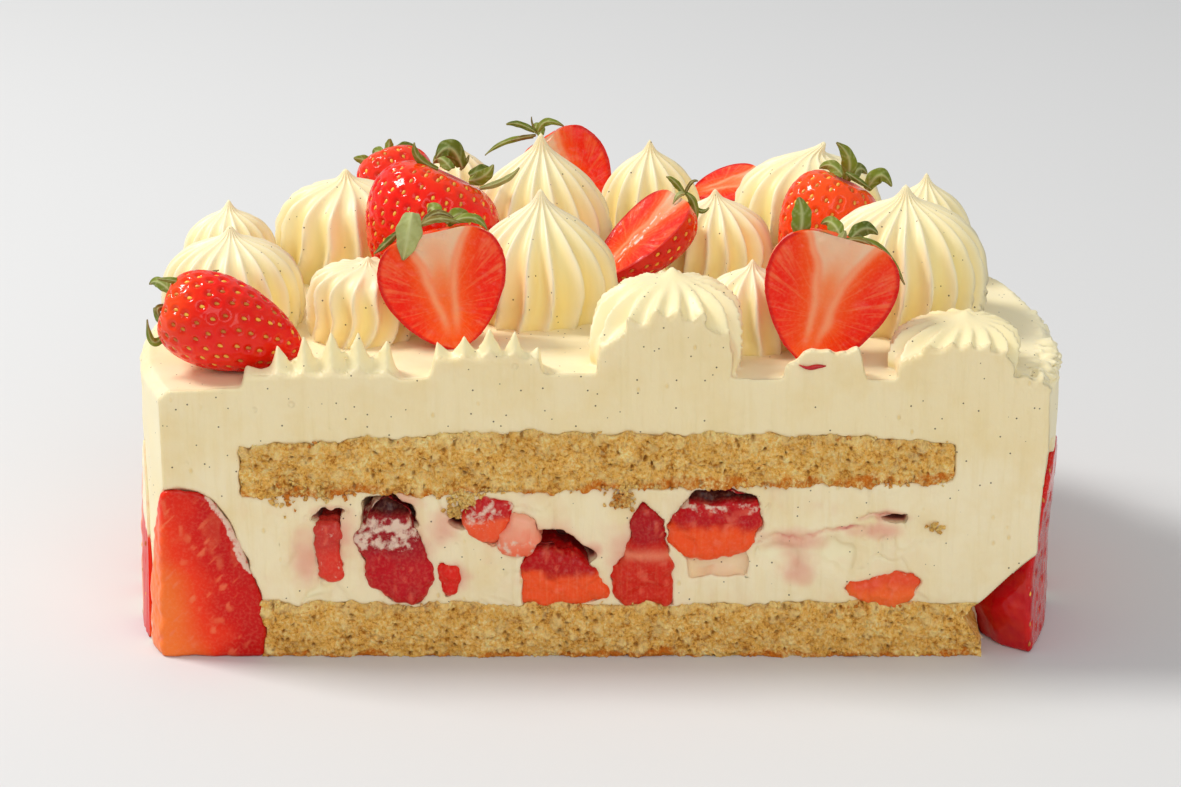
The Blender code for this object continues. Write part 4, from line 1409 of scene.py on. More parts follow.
@dataclass
class Berry:
    """A whole or halved strawberry on the top of the cake.

    tip is where its tip points, face where its cut face looks. pale is how far the light
    shoulder comes down, core how wide the pale middle of a half is, wet how strong the painted
    highlight that glints on its cut face is, and bright how light its flesh is, lowered below 1
    as painted shade where the cut face looks into the lamp. apart is the distance between seeds.
    """
    node: str
    kind: Kind
    width: float
    length: float
    tip: Place
    face: Place
    seed: int
    pale: float = 0.35
    core: float = 0.44
    skin: Colour = RED
    painted_glint: float = 0.0
    # Painted shade: below 1 it dims the flesh of a half whose cut face looks into the lamp
    shaded_brightness: float = 1.0
    apart: float = 0.0034

    def axes(self) -> Array:
        """Axes of the berry: across, backwards and up, as columns."""
        up = -np.array(self.tip, float)
        up /= np.linalg.norm(up)
        back = -np.array(self.face, float)
        back -= up * back.dot(up)
        back /= np.linalg.norm(back)
        return np.stack([np.cross(back, up), back, up], 1)

    def local(self, line: Array, share: Array, turn: Array) -> Array:
        """Places on the plain skin, round the berry's own middle.

        Args:
            line: The berry's outline.
            share: How far along that line each place is.
            turn: Its turn round the middle.
        Returns:
            The places.
        """
        reach, level = along(line, share)
        ring = ring_places(turn, 2.0 * level / self.length)
        reach = reach * (1.0 + 0.035 * smooth_noise(ring, 1.1, self.seed)
                         + 0.012 * smooth_noise(ring, 0.4, self.seed + 1))
        deep = np.sin(turn) * (1.0 if self.kind is Kind.WHOLE else 0.92)
        return np.stack([reach * np.cos(turn), reach * deep, level - 0.5 * self.length], 1)

    def seed_spots(self, line: Array) -> tuple[Array, Array]:
        """Rings of seeds, each shifted against the next.

        Args:
            line: The berry's outline.
        Returns:
            Share along that line and turn of each seed.
        """
        random = np.random.default_rng(self.seed)
        length = np.linalg.norm(np.diff(line, axis=0), axis=1).sum()
        shares, turns = [], []
        for row, share in enumerate(np.arange(0.06, 0.86, 0.86 * self.apart / length)):
            reach = along(line, np.array([share]))[0][0]
            count = max(3, round(2.0 * math.pi * reach / self.apart))
            for k in range(count):
                shares.append(share + random.normal(0.0, 0.012))
                turns.append(2.0 * math.pi * (k + 0.5 * (row % 2)) / count
                             + random.normal(0.0, 0.10) * 3.0 / count)
        shares, turns = np.array(shares), np.mod(np.array(turns), 2.0 * math.pi)
        keep = (turns > 0.06) & (turns < math.pi - 0.06) | (self.kind is Kind.WHOLE)
        return shares[keep], turns[keep]

    def skin_tint(self, up: Array, ring: Array, pressed: Array) -> Array:
        """Colour of the skin: redder to the tip, orange at the shoulder and darker round the seeds,
        where painted shade fills the dimples.

        Args:
            up: From the tip to the cap.
            ring: Where its noise is read.
            pressed: How deep in a dimple each place is.
        Returns:
            The colours.
        """
        patch = 0.5 + 0.5 * smooth_noise(ring, 0.8, self.seed + 5)
        colour = blend(self.skin, DEEP_RED, 0.7 * patch * (1.0 - up))
        colour = blend(colour, ORANGE,
                       rise(up, 1.0 - self.pale, self.pale + 0.1) * (0.55 + 0.45 * patch))
        # Painted shade in the dimples round the seeds
        return blend(colour, tone(150, 12, 8), 0.30 * pressed)

    def flesh_tint(self, x: Array, up: Array, edge: Array, wander: Array) -> tuple[Array, Array]:
        """Colour of the cut face.

        Args:
            x: Across the face, against its half width.
            up: From the tip to the cap.
            edge: Distance from the skin.
            wander: Smooth noise.
        Returns:
            The colours, and where the fibres show.
        """
        core = 0.05 + self.core * (0.62 * up + 0.9 * up ** 5)
        off = np.abs(x + 0.05 * (1.0 - up)) - core + 0.05 * wander
        split = up + 0.26 * np.clip((off + core) / core, 0.0, 1.0) ** 2 - 0.14 + 0.10 * wander
        inner = blend(tone(255, 108, 40), tone(248, 150, 96), rise(split, 0.25, 0.45))
        inner = blend(inner, tone(240, 196, 158), rise(split, 0.52, 0.40))
        colour = blend(tone(255, 86, 8), tone(248, 34, 2), rise(off, 0.0, 0.5))
        colour = blend(colour, inner, rise(off, 0.0, -0.12))
        colour = blend(colour, tone(252, 172, 124), bell(off, 0.060) * rise(up, 0.06, 0.25) * 0.75)
        rim = rise(edge, 0.0011, -0.0008) * rise(up, 0.965, -0.03)
        return blend(colour, tone(214, 12, 6), rim), rise(off, 0.0, 0.12) * (1.0 - rim)

    def cut_face(self, piece: Piece, plain: Array, cut: Array, up: Array) -> tuple[Array, Array]:
        """The flat face of a half, with what its material reads.

        Args:
            piece: The half.
            plain: Places on its plain skin.
            cut: Which of them are on the face.
            up: From the tip to the cap.
        Returns:
            The places laid flat, and their colours.
        """
        x, _y, z = plain.T
        side = x / (0.5 * self.width)
        flat = plain * (1.0, 0.0, 1.0)
        wander = smooth_noise(flat, 0.004, self.seed + 7)
        edge = np.hypot(x, plain[:, 1]) - np.abs(x)
        relief = 0.00016 * smooth_noise(flat, 0.0012, self.seed + 8) + 0.00035 * wander
        flat[:, 1] = relief * smoothstep(edge / 0.0012)
        flesh, fibrous = self.flesh_tint(side, up, edge, wander)
        # Painted highlight: broken pale glints down a band near the middle of the cut face
        glint_streaks = smooth_noise(plain[:, (0, 2)] * (1.0, 0.22), 0.0007, self.seed + 9)
        glint_streaks += 0.5 * smooth_noise(plain[:, (0, 2)], 0.0006, self.seed + 10)
        glint_lane = bell(side - 0.10, 0.20) * rise(up, 0.18, 0.1) * rise(up, 0.86, -0.1)
        store(piece, fibrous=np.where(cut, fibrous, 0.0),
              ray=np.arctan2(np.abs(x) + 0.001, z + 0.12 * self.length),
              reach=np.hypot(x, z) / (0.5 * self.width), smear=0.0)
        # The flesh is dimmed as painted shade and the painted highlight is laid over it
        return flat, blend(self.shaded_brightness * flesh, tone(255, 226, 216),
                           self.painted_glint * rise(glint_streaks * glint_lane, 0.34, 0.12))

    def build(self, looks: Looks, seeds: SeedBag) -> None:
        """Model the berry in its place and lay its seeds.

        Args:
            looks: The finishes.
            seeds: Collects its seeds.
        """
        half = self.kind is Kind.HALF
        piece, share, turn = ball("ripe_" + self.node, *(((176, 112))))
        line = line_through(BERRY_LINE, 0.5 * self.width, self.length)
        plain = self.local(line, share, turn)
        move_points(piece, plain)
        spots = self.local(line, *self.seed_spots(line))
        at, pressed = dimples(plain, normals_of(piece), spots, 0.00070, 0.00062)
        up = plain[:, 2] / self.length + 0.5
        tint = self.skin_tint(up, ring_places(turn, 2.0 * up), pressed)
        if half:
            cut = np.sin(turn) < -SIDE
            flat, flesh = self.cut_face(piece, plain, cut, up)
            at = np.where(cut[:, None], flat, at)
            rim = np.abs(np.sin(turn)) < SIDE
            at[rim] = plain[rim]
            tint = np.where(cut[:, None], flesh, tint)
        store(piece, tint=tint)
        axes = self.axes()
        world = at @ axes.T
        low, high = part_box(self.node)
        shift = 0.5 * (np.array(low) + np.array(high) - world.min(0) - world.max(0))
        move_points(piece, world + shift)
        if half:
            dress_half(piece, turn, looks, [self.node])
        else:
            finish_piece(piece, looks.skin, [self.node])
        outward = np.stack([spots[:, 0], spots[:, 1], 0.45 * (spots[:, 2] + 0.05 * self.length)],
                           1) @ axes.T
        for spot, out in zip(spots @ axes.T + shift, outward):
            out = out / np.linalg.norm(out)
            seeds.add(spot - out * 0.00044, out, -axes[:, 2], 0.00066)


BERRIES = (
    Berry("berry_left", Kind.WHOLE, 0.0200, 0.0304, (0.94, -0.02, -0.32), (0, -1, 0), 71, 0.30),
    Berry("berry_middle_left", Kind.WHOLE, 0.0299, 0.0295, (-0.42, -0.20, -0.88), (0, -1, 0), 72,
          0.15),
    Berry("berry_far_left", Kind.WHOLE, 0.0189, 0.0224, (0.30, -0.40, -0.80), (0, -1, 0), 73, 0.2,
          skin=tone(240, 44, 26)),
    Berry("berry_right", Kind.WHOLE, 0.0222, 0.0262, (-0.42, -0.10, -0.88), (0, -1, 0), 74, 0.9,
          skin=tone(250, 56, 8)),
    Berry("half_berry_left", Kind.HALF, 0.0276, 0.0256, (0.22, -0.14, -0.97), (0, -0.97, 0.22), 75,
          0.3, 0.36),
    Berry("half_berry_far", Kind.HALF, 0.0220, 0.0249, (0.52, -0.12, -0.82), (0.1, -0.92, 0.3), 76,
          0.3, 0.16),
    Berry("half_berry_middle", Kind.HALF, 0.0218, 0.0272, (-0.70, -0.30, -0.62),
          (-0.62, -0.32, 0.71), 77, 0.3, 0.20, tone(206, 10, 10), 0.9, 0.86),
    Berry("half_berry_back", Kind.HALF, 0.0205, 0.0176, (-0.96, -0.10, -0.20), (0, -0.16, 0.98), 78,
          0.3),
    Berry("half_berry_right", Kind.HALF, 0.0284, 0.0280, (-0.26, -0.10, -0.96), (0, -0.97, 0.2), 79,
          0.3, 0.34),
)


@dataclass
class Leaf:
    """A leaf of a cap: its root, its middle and its tip in millimetres, and its widest width."""
    root: Place
    middle: Place
    tip: Place
    width: float
    green: Colour

    def mesh(self, seed: int) -> Piece:
        """A thin, folded and wavy leaf.

        Args:
            seed: Chooses its waves.
        Returns:
            The leaf.
        """
        clear_selection()
        bpy.ops.mesh.primitive_grid_add(x_subdivisions=8, y_subdivisions=18, size=2.0)
        piece = name_piece(bpy.context.object, "leaf")
        at = points_of(piece)
        across, t = at[:, 0], 0.5 * (at[:, 1] + 1.0)
        beside = np.abs(across)
        root, middle, tip = (np.array(p) * MM for p in (self.root, self.middle, self.tip))
        bend = 2.0 * middle - 0.5 * (root + tip)
        spine = (np.outer((1 - t) ** 2, root) + np.outer(2 * t * (1 - t), bend)
                 + np.outer(t ** 2, tip))
        way = np.outer(2 * (1 - t), bend - root) + np.outer(2 * t, tip - bend)
        way /= np.linalg.norm(way, axis=1)[:, None]
        side = np.cross(way, (0.05, -0.95, 0.3))
        side /= np.linalg.norm(side, axis=1)[:, None] + 1e-9
        out = np.cross(side, way)
        wide = (0.5 * self.width * MM
                * np.sin(math.pi * np.clip(0.10 + 0.90 * t, 0, 1) ** 0.9) ** 0.75)
        wide = np.maximum(wide, 0.00012) * (1.0 + 0.07 * np.sin(17.0 * t + seed) * beside)
        fold = 0.42 * wide * beside - 0.14 * wide
        wave = 0.07 * self.width * MM * np.sin(7.0 * t + 2.0 * across + seed)
        move_points(piece, spine + side * (across * wide)[:, None]
                    - out * (fold + wave * beside)[:, None])
        vein = bell(across, 0.16) + 0.45 * (np.abs(np.sin(16.0 * (t - 0.25 * beside))) > 0.93)
        shade = 0.5 + 0.5 * smooth_noise(points_of(piece), 0.002, seed)
        colour = blend(self.green, tone(74, 88, 12), 0.45 * shade)
        store(piece, vein=np.clip(vein, 0.0, 1.0),
              tint=blend(colour, tone(120, 92, 40), 0.6 * rise(t, 0.82, 0.18)))
        apply(piece, "SOLIDIFY", thickness=0.00028, offset=0.0)
        apply(piece, "SUBSURF", levels=1, render_levels=1)
        return piece


DARK, MID, PALE = tone(88, 104, 20), tone(124, 138, 40), tone(184, 190, 124)
STRAW, BROWN = tone(150, 122, 60), tone(116, 88, 34)

CAPS: dict[str, tuple[Leaf, ...]] = {
    "berry_left": (
        Leaf((-87.6, -58.6, 75.2), (-86.2, -59.8, 79.7), (-91.8, -59.8, 81.2), 2.4, MID),
        Leaf((-88.6, -58.6, 74.5), (-91.6, -61.2, 75.2), (-90.9, -62.6, 73.2), 1.5, BROWN),
        Leaf((-89.6, -58.6, 70.2), (-93.0, -60.8, 67.6), (-94.0, -61.8, 73.0), 1.8, MID),
        Leaf((-86.6, -57.6, 78.0), (-82.6, -54.8, 80.1), (-79.7, -52.8, 81.1), 1.3, BROWN),
        Leaf((-89.4, -56.0, 77.0), (-92.6, -53.0, 78.4), (-95.0, -50.0, 77.0), 2.6, MID),
        Leaf((-89.6, -56.0, 72.0), (-92.4, -53.6, 70.6), (-94.2, -51.0, 72.2), 2.4, DARK)),
    "berry_middle_left": (
        Leaf((-35.2, -8.8, 91.6), (-39.5, -9.8, 94.5), (-40.4, -9.8, 98.1), 2.0, MID),
        Leaf((-29.9, -8.4, 92.0), (-32.4, -10.8, 97.0), (-35.7, -11.8, 94.8), 4.6, DARK),
        Leaf((-28.4, -8.4, 88.8), (-24.9, -9.8, 90.3), (-22.7, -9.8, 93.0), 3.2, MID),
        Leaf((-26.0, -7.8, 86.9), (-20.3, -8.8, 89.1), (-16.9, -9.8, 92.3), 1.6, PALE),
        Leaf((-30.4, -6.8, 90.9), (-29.0, -6.8, 92.8), (-28.4, -6.8, 94.4), 0.9, BROWN),
        Leaf((-32.4, -5.0, 90.6), (-35.0, -1.0, 92.0), (-37.0, 3.0, 90.0), 3.4, MID),
        Leaf((-28.4, -4.6, 89.0), (-25.0, 0.0, 89.0), (-24.0, 4.0, 86.0), 3.0, DARK)),
    "berry_far_left": (
        Leaf((-50.3, 43.2, 82.2), (-50.0, 44.2, 83.9), (-49.8, 44.2, 85.5), 2.2, MID),
        Leaf((-53.9, 43.6, 79.6), (-56.4, 44.2, 80.2), (-58.8, 44.2, 80.6), 2.6, MID),
        Leaf((-49.0, 45.4, 81.6), (-46.0, 48.6, 82.4), (-44.0, 51.0, 80.6), 2.8, DARK),
        Leaf((-51.4, 45.6, 80.8), (-53.4, 49.4, 81.0), (-54.4, 52.0, 78.6), 2.6, MID)),
    "half_berry_left": (
        Leaf((-38.6, -49.4, 92.8), (-39.5, -51.6, 88.2), (-40.7, -51.6, 82.8), 5.6, PALE),
        Leaf((-41.4, -48.4, 88.6), (-44.5, -47.9, 85.5), (-47.1, -47.6, 83.1), 1.6, DARK),
        Leaf((-30.5, -48.2, 90.2), (-25.8, -49.2, 91.5), (-22.9, -49.2, 88.9), 2.1, MID),
        Leaf((-37.4, -48.9, 89.6), (-33.2, -49.6, 91.4), (-28.6, -48.6, 90.2), 1.7, STRAW),
        Leaf((-36.6, -48.6, 90.0), (-33.6, -47.4, 92.0), (-30.0, -47.6, 91.0), 1.8, BROWN),
        Leaf((-34.0, -46.0, 89.6), (-34.6, -42.6, 91.6), (-36.0, -39.6, 90.0), 3.6, MID),
        Leaf((-31.6, -46.0, 89.2), (-29.0, -43.0, 90.6), (-27.0, -40.4, 88.4), 3.2, MID)),
    "half_berry_far": (
        Leaf((-14.4, 46.0, 86.8), (-18.4, 46.4, 88.6), (-21.5, 46.4, 88.5), 1.7, DARK),
        Leaf((-13.8, 46.0, 86.8), (-11.5, 46.4, 89.2), (-7.4, 46.4, 88.1), 2.0, MID),
        Leaf((-13.8, 46.2, 86.2), (-15.0, 46.4, 88.4), (-15.3, 46.4, 90.5), 0.5, BROWN),
        Leaf((-14.2, 46.2, 85.9), (-18.1, 46.4, 85.1), (-20.8, 46.4, 84.4), 1.2, BROWN),
        Leaf((-14.8, 46.4, 85.4), (-21.6, 46.6, 84.1), (-26.8, 46.8, 80.6), 1.4, MID),
        Leaf((-13.0, 48.6, 85.2), (-14.0, 52.0, 86.4), (-16.0, 55.0, 84.6), 2.8, MID)),
    "half_berry_middle": (
        Leaf((20.6, -3.6, 84.2), (18.4, -3.9, 87.2), (16.3, -3.7, 88.6), 1.6, MID),
        Leaf((20.6, -3.8, 84.4), (19.2, -5.0, 84.6), (17.9, -5.5, 82.6), 1.3, PALE),
        Leaf((20.9, -3.6, 84.6), (22.9, -4.4, 81.8), (22.9, -4.6, 76.8), 1.8, MID),
        Leaf((21.4, -3.0, 82.6), (24.2, -3.4, 80.4), (26.2, -3.2, 81.2), 1.2, DARK),
        Leaf((20.6, -3.2, 84.2), (22.0, -3.4, 87.0), (23.6, -3.2, 87.4), 0.9, BROWN)),
    "half_berry_right": (
        Leaf((42.7, -58.9, 89.9), (43.2, -58.9, 94.7), (42.4, -58.5, 98.6), 4.4, MID),
        Leaf((50.7, -58.9, 88.6), (51.7, -58.9, 89.9), (52.3, -58.5, 91.4), 2.0, PALE),
        Leaf((53.0, -58.9, 89.3), (59.7, -58.9, 87.5), (65.2, -58.7, 79.5), 1.9, MID),
        Leaf((43.6, -58.9, 90.0), (47.6, -59.3, 90.6), (52.0, -58.9, 88.6), 1.5, BROWN),
        Leaf((52.0, -58.9, 89.3), (56.0, -59.5, 89.3), (59.0, -59.1, 87.0), 1.4, STRAW),
        Leaf((51.6, -56.4, 89.4), (50.0, -53.0, 91.4), (48.0, -50.0, 90.4), 3.4, MID),
        Leaf((53.8, -56.4, 89.0), (57.0, -53.4, 90.4), (60.0, -51.0, 88.4), 3.4, DARK)),
    "berry_right": (
        Leaf((57.5, -1.4, 87.0), (57.9, -2.2, 92.3), (54.9, -2.2, 96.2), 3.6, MID),
        Leaf((57.2, -3.2, 89.4), (59.9, -4.2, 87.9), (63.2, -4.2, 85.6), 1.5, DARK),
        Leaf((62.3, -1.4, 84.8), (65.1, -2.2, 88.5), (67.9, -2.2, 85.8), 3.8, MID),
        Leaf((59.0, 0.6, 87.0), (61.0, 4.0, 88.4), (63.0, 7.0, 86.4), 3.2, DARK),
        Leaf((57.0, 0.6, 87.4), (54.6, 4.4, 89.0), (52.0, 7.6, 87.6), 3.0, MID)),
}


@dataclass
class Cap:
    """The leaves of one berry, joined."""
    berry: str
    leaves: tuple[Leaf, ...]

    def build(self, looks: Looks) -> None:
        """Shape each leaf and join them."""
        seed = 3 * len(self.berry)
        parts = [leaf.mesh(seed + k) for k, leaf in enumerate(self.leaves)]
        finish_piece(joined(parts, "leaves_of_" + self.berry), looks.leaf,
                     ["cap_of_" + self.berry])


@dataclass
class WallBerry:
    """A halved strawberry that stands on its hulled end at the wall, its cut face along the wall.

    creamed says that it is the one in front, redder, with seeds, and with cream over its top.
    """
    index: int
    count: int = 12
    creamed: bool = False

    def angle(self) -> float:
        """Where it stands round the wall."""
        pitch = math.radians(189.2 + 14.8) / (self.count - 2)
        return math.radians(189.2) - pitch * (self.index - 1)

    def lay_seeds(self, half: float, seeds: SeedBag) -> None:
        """Lay the seeds of the one in front.

        Args:
            half: Its half width.
            seeds: Collects the seeds.
        """
        for across, up_to in ((0.34, 0.012), (0.62, 0.020), (0.12, 0.023), (0.74, 0.009),
                              (0.05, 0.016), (0.55, 0.0055)):
            turned = self.angle() + across * half / RING_RADIUS
            out = np.array((math.cos(turned), math.sin(turned), 0.0))
            reached = wall_reach(np.array([turned]), np.array([up_to]))[0]
            spot = out * (reached + 0.00005) + np.array((*RING_MIDDLE, up_to))
            seeds.add(spot, out, np.array((0.0, 0.0, 1.0)), 0.0007)

    def build(self, looks: Looks, seeds: SeedBag) -> None:
        """Model the half along the wall's curve.

        Args:
            looks: The finishes.
            seeds: Collects its seeds.
        """
        node = f"wall_berry_{self.index + 1:02d}"
        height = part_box(node)[1].z
        size = 1.0 + 0.04 * math.sin(1.7 * self.index + 0.4)
        half, deep = 0.0158 * size + 0.0003, 0.0172 * size
        lean = 0.0012 * math.sin(2.1 * self.index)
        piece, share, turn = ball("half_" + node, *(((112, 84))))
        reach, level = along(line_through(WALL_LINE, 1.0, height + 0.0003), share)
        cut = np.sin(turn) < -SIDE
        ring = ring_places(turn, 60.0 * level)
        side = half * reach * np.cos(turn) * (1.0 + 0.03 * smooth_noise(ring, 1.0, 80 + self.index))
        theta = self.angle()
        wall = wall_reach(np.full(len(level), theta), level)
        flat = np.stack([side, level], 1)
        edge = half * reach * (1.0 - np.abs(np.cos(turn)))
        wander = smooth_noise(flat, 0.005, 90 + self.index)
        relief = 0.00018 * smooth_noise(flat, 0.0016, 91 + self.index) + 0.0002 * wander
        relief = np.where(cut, relief * smoothstep(edge / 0.002), -deep * reach * np.sin(turn))
        at_angle = theta + (side + lean * level / height) / wall
        radius = wall + 0.00022 + relief
        move_points(piece, np.stack([RING_MIDDLE[0] + radius * np.cos(at_angle),
                                     RING_MIDDLE[1] + radius * np.sin(at_angle),
                                     np.maximum(level, 0.0)], 1))
        up = 1.0 - level / height
        pattern = Berry(node, Kind.HALF, 2.0 * half, height, (0, 0, 1), (0, -1, 0),
                        100 + self.index, 0.3, 0.34 + 0.08 * math.sin(2.9 * self.index))
        flesh, fibrous = pattern.flesh_tint(side / half, 0.12 + 0.88 * up, edge, wander)
        skin = pattern.skin_tint(up, ring, np.zeros(len(up)))
        smear = 0.30 * rise(edge, 0.0010, -0.0010)
        if self.creamed:
            smear = np.zeros(len(up))
            flank = rise(side / half, 0.05, 0.25)
            flesh = blend(flesh, tone(226, 6, 12), flank)
            brim = (0.0300 - 0.010 * np.clip(side / half, 0.0, 1.0)
                    + 0.022 * np.clip(-side / half, 0.0, 1.0))
            covered = smoothstep((level - brim + 0.0013 * wander) / 0.0012)
            flesh, skin = (blend(tint, CreamFinish.ivory, covered) for tint in (flesh, skin))
            fibrous = fibrous * (1.0 - flank) * (1.0 - covered)
            self.lay_seeds(half, seeds)
        store(piece, tint=np.where(cut[:, None], flesh, skin), fibrous=np.where(cut, fibrous, 0.0),
              ray=np.arctan2(np.abs(side) + 0.001, 0.62 * height - level),
              reach=np.hypot(side, level - 0.5 * height) / half, smear=smear * cut)
        dress_half(piece, turn, looks, [node])


@dataclass
class Fruit:
    """A piece of strawberry in the cut: its colours from low to high and the cream smeared on it.

    split is the height where the colour changes and soft how gradually, smear how much cream is
    on it and smeared the height from which there is more of it. lift brings it forwards. Above
    hollow it lies back and is painted dark as shade, and at stripe it has a pale band.
    """
    node: str
    low: Colour
    high: Colour
    split: float
    soft: float
    smear: float
    smeared: float
    seed: int
    lift: float = 0.0
    fibres: float = 0.1
    hollow: float = 1.0
    stripe: float = -1.0
    voxel: float = 0.0004
    triangles: int = 26000

    def build(self, looks: Looks) -> None:
        """Round, roughen and colour the piece."""
        piece = node_copy(self.node, "cut_" + self.node)
        new_skin(piece, self.voxel, 44)
        at, normal, seed = points_of(piece), normals_of(piece), self.seed
        x, y, z = at.T
        rough = waves(at, (0.00065, 0.0036, seed), (0.00042, 0.0014, seed + 1),
                      (0.00016, 0.0006, seed + 2))
        at += normal * (rough + 0.00115)[:, None] + uneven(at)
        front = rise(y, CUT + 0.0015, -0.001)
        y -= front * (self.lift + 0.0002 * smooth_noise(at, 0.002, seed + 3) - 0.0002)
        wander = smooth_noise(at, 0.0045, seed + 4)
        fine = smooth_noise(at, 0.0015, seed + 5)
        share = smoothstep((z - self.split + 0.0012 * wander + 0.0005 * fine) / self.soft + 0.5)
        colour = blend(self.low, self.high, share)
        colour *= (1.0 - 0.38 * smoothstep(0.4 * fine + 0.3 * wander - 0.1))[:, None]
        # Painted highlights: lighter flecks on the front of the piece
        highlight_fleck = rise(smooth_noise(at * (1.0, 1.0, 0.5), 0.0011, seed + 6), 0.35, 0.4)
        colour = blend(colour, tone(255, 128, 96), 0.35 * highlight_fleck * front)
        colour = blend(colour, tone(252, 160, 120),
                       0.55 * bell(z - self.stripe + 0.0006 * wander, 0.0012))
        # Painted shade: dark where the piece lies back in its cavity above hollow
        cavity_shade = smoothstep((z - self.hollow + 0.0008 * wander + 0.0003 * fine) / 0.0009) * front
        colour = blend(colour, tone(64, 12, 12), cavity_shade)
        y += 0.0018 * cavity_shade
        move_points(piece, at)
        smear = ((self.smear + 0.20 * wander + 0.15 * fine * front)
                 * (0.35 + 0.65 * rise(z, self.smeared, 0.004)))
        store(piece, tint=colour, smear=np.clip(smear, 0.0, 0.8) * (1.0 - cavity_shade),
              fibrous=self.fibres * (1.0 - share) * front, ray=x / 0.006, reach=z / 0.02)
        thin_out(piece, self.triangles)
        finish_piece(piece, looks.flesh, [self.node])


FRUITS = (
    Fruit("fruit_strip", tone(230, 56, 40), tone(206, 54, 44), 0.0240, 0.004, 0.28, 0.0, 201),
    Fruit("fruit_crimson", tone(196, 6, 24), tone(156, 10, 26), 0.0240, 0.006, 0.50, 0.0225, 202,
          hollow=0.0322),
    Fruit("fruit_small", tone(224, 12, 8), tone(232, 34, 20), 0.0180, 0.003, 0.20, 0.0, 203),
    Fruit("fruit_slices", tone(250, 90, 46), tone(200, 18, 26), 0.0318, 0.002, 0.50, 0.0275, 204,
          fibres=0.3),
    Fruit("fruit_pale", tone(250, 116, 80), tone(252, 176, 144), 0.0272, 0.006, 0.42, 0.0, 205,
          0.0006, 0.5),
    Fruit("fruit_wedge", tone(252, 84, 28), tone(190, 4, 10), 0.0196, 0.0022, 0.30, 0.0200, 206,
          fibres=0.7, hollow=0.0246),
    Fruit("fruit_column", tone(214, 30, 6), tone(180, 10, 20), 0.0262, 0.0030, 0.26, 0.0290, 207,
          fibres=0.25, stripe=0.0238),
    Fruit("fruit_right", tone(252, 84, 26), tone(196, 4, 18), 0.0300, 0.0032, 0.52, 0.0310, 208,
          fibres=0.4, hollow=0.0352),
    Fruit("fruit_low", tone(255, 108, 44), tone(244, 84, 44), 0.0160, 0.003, 0.36, 0.0150, 209),
)


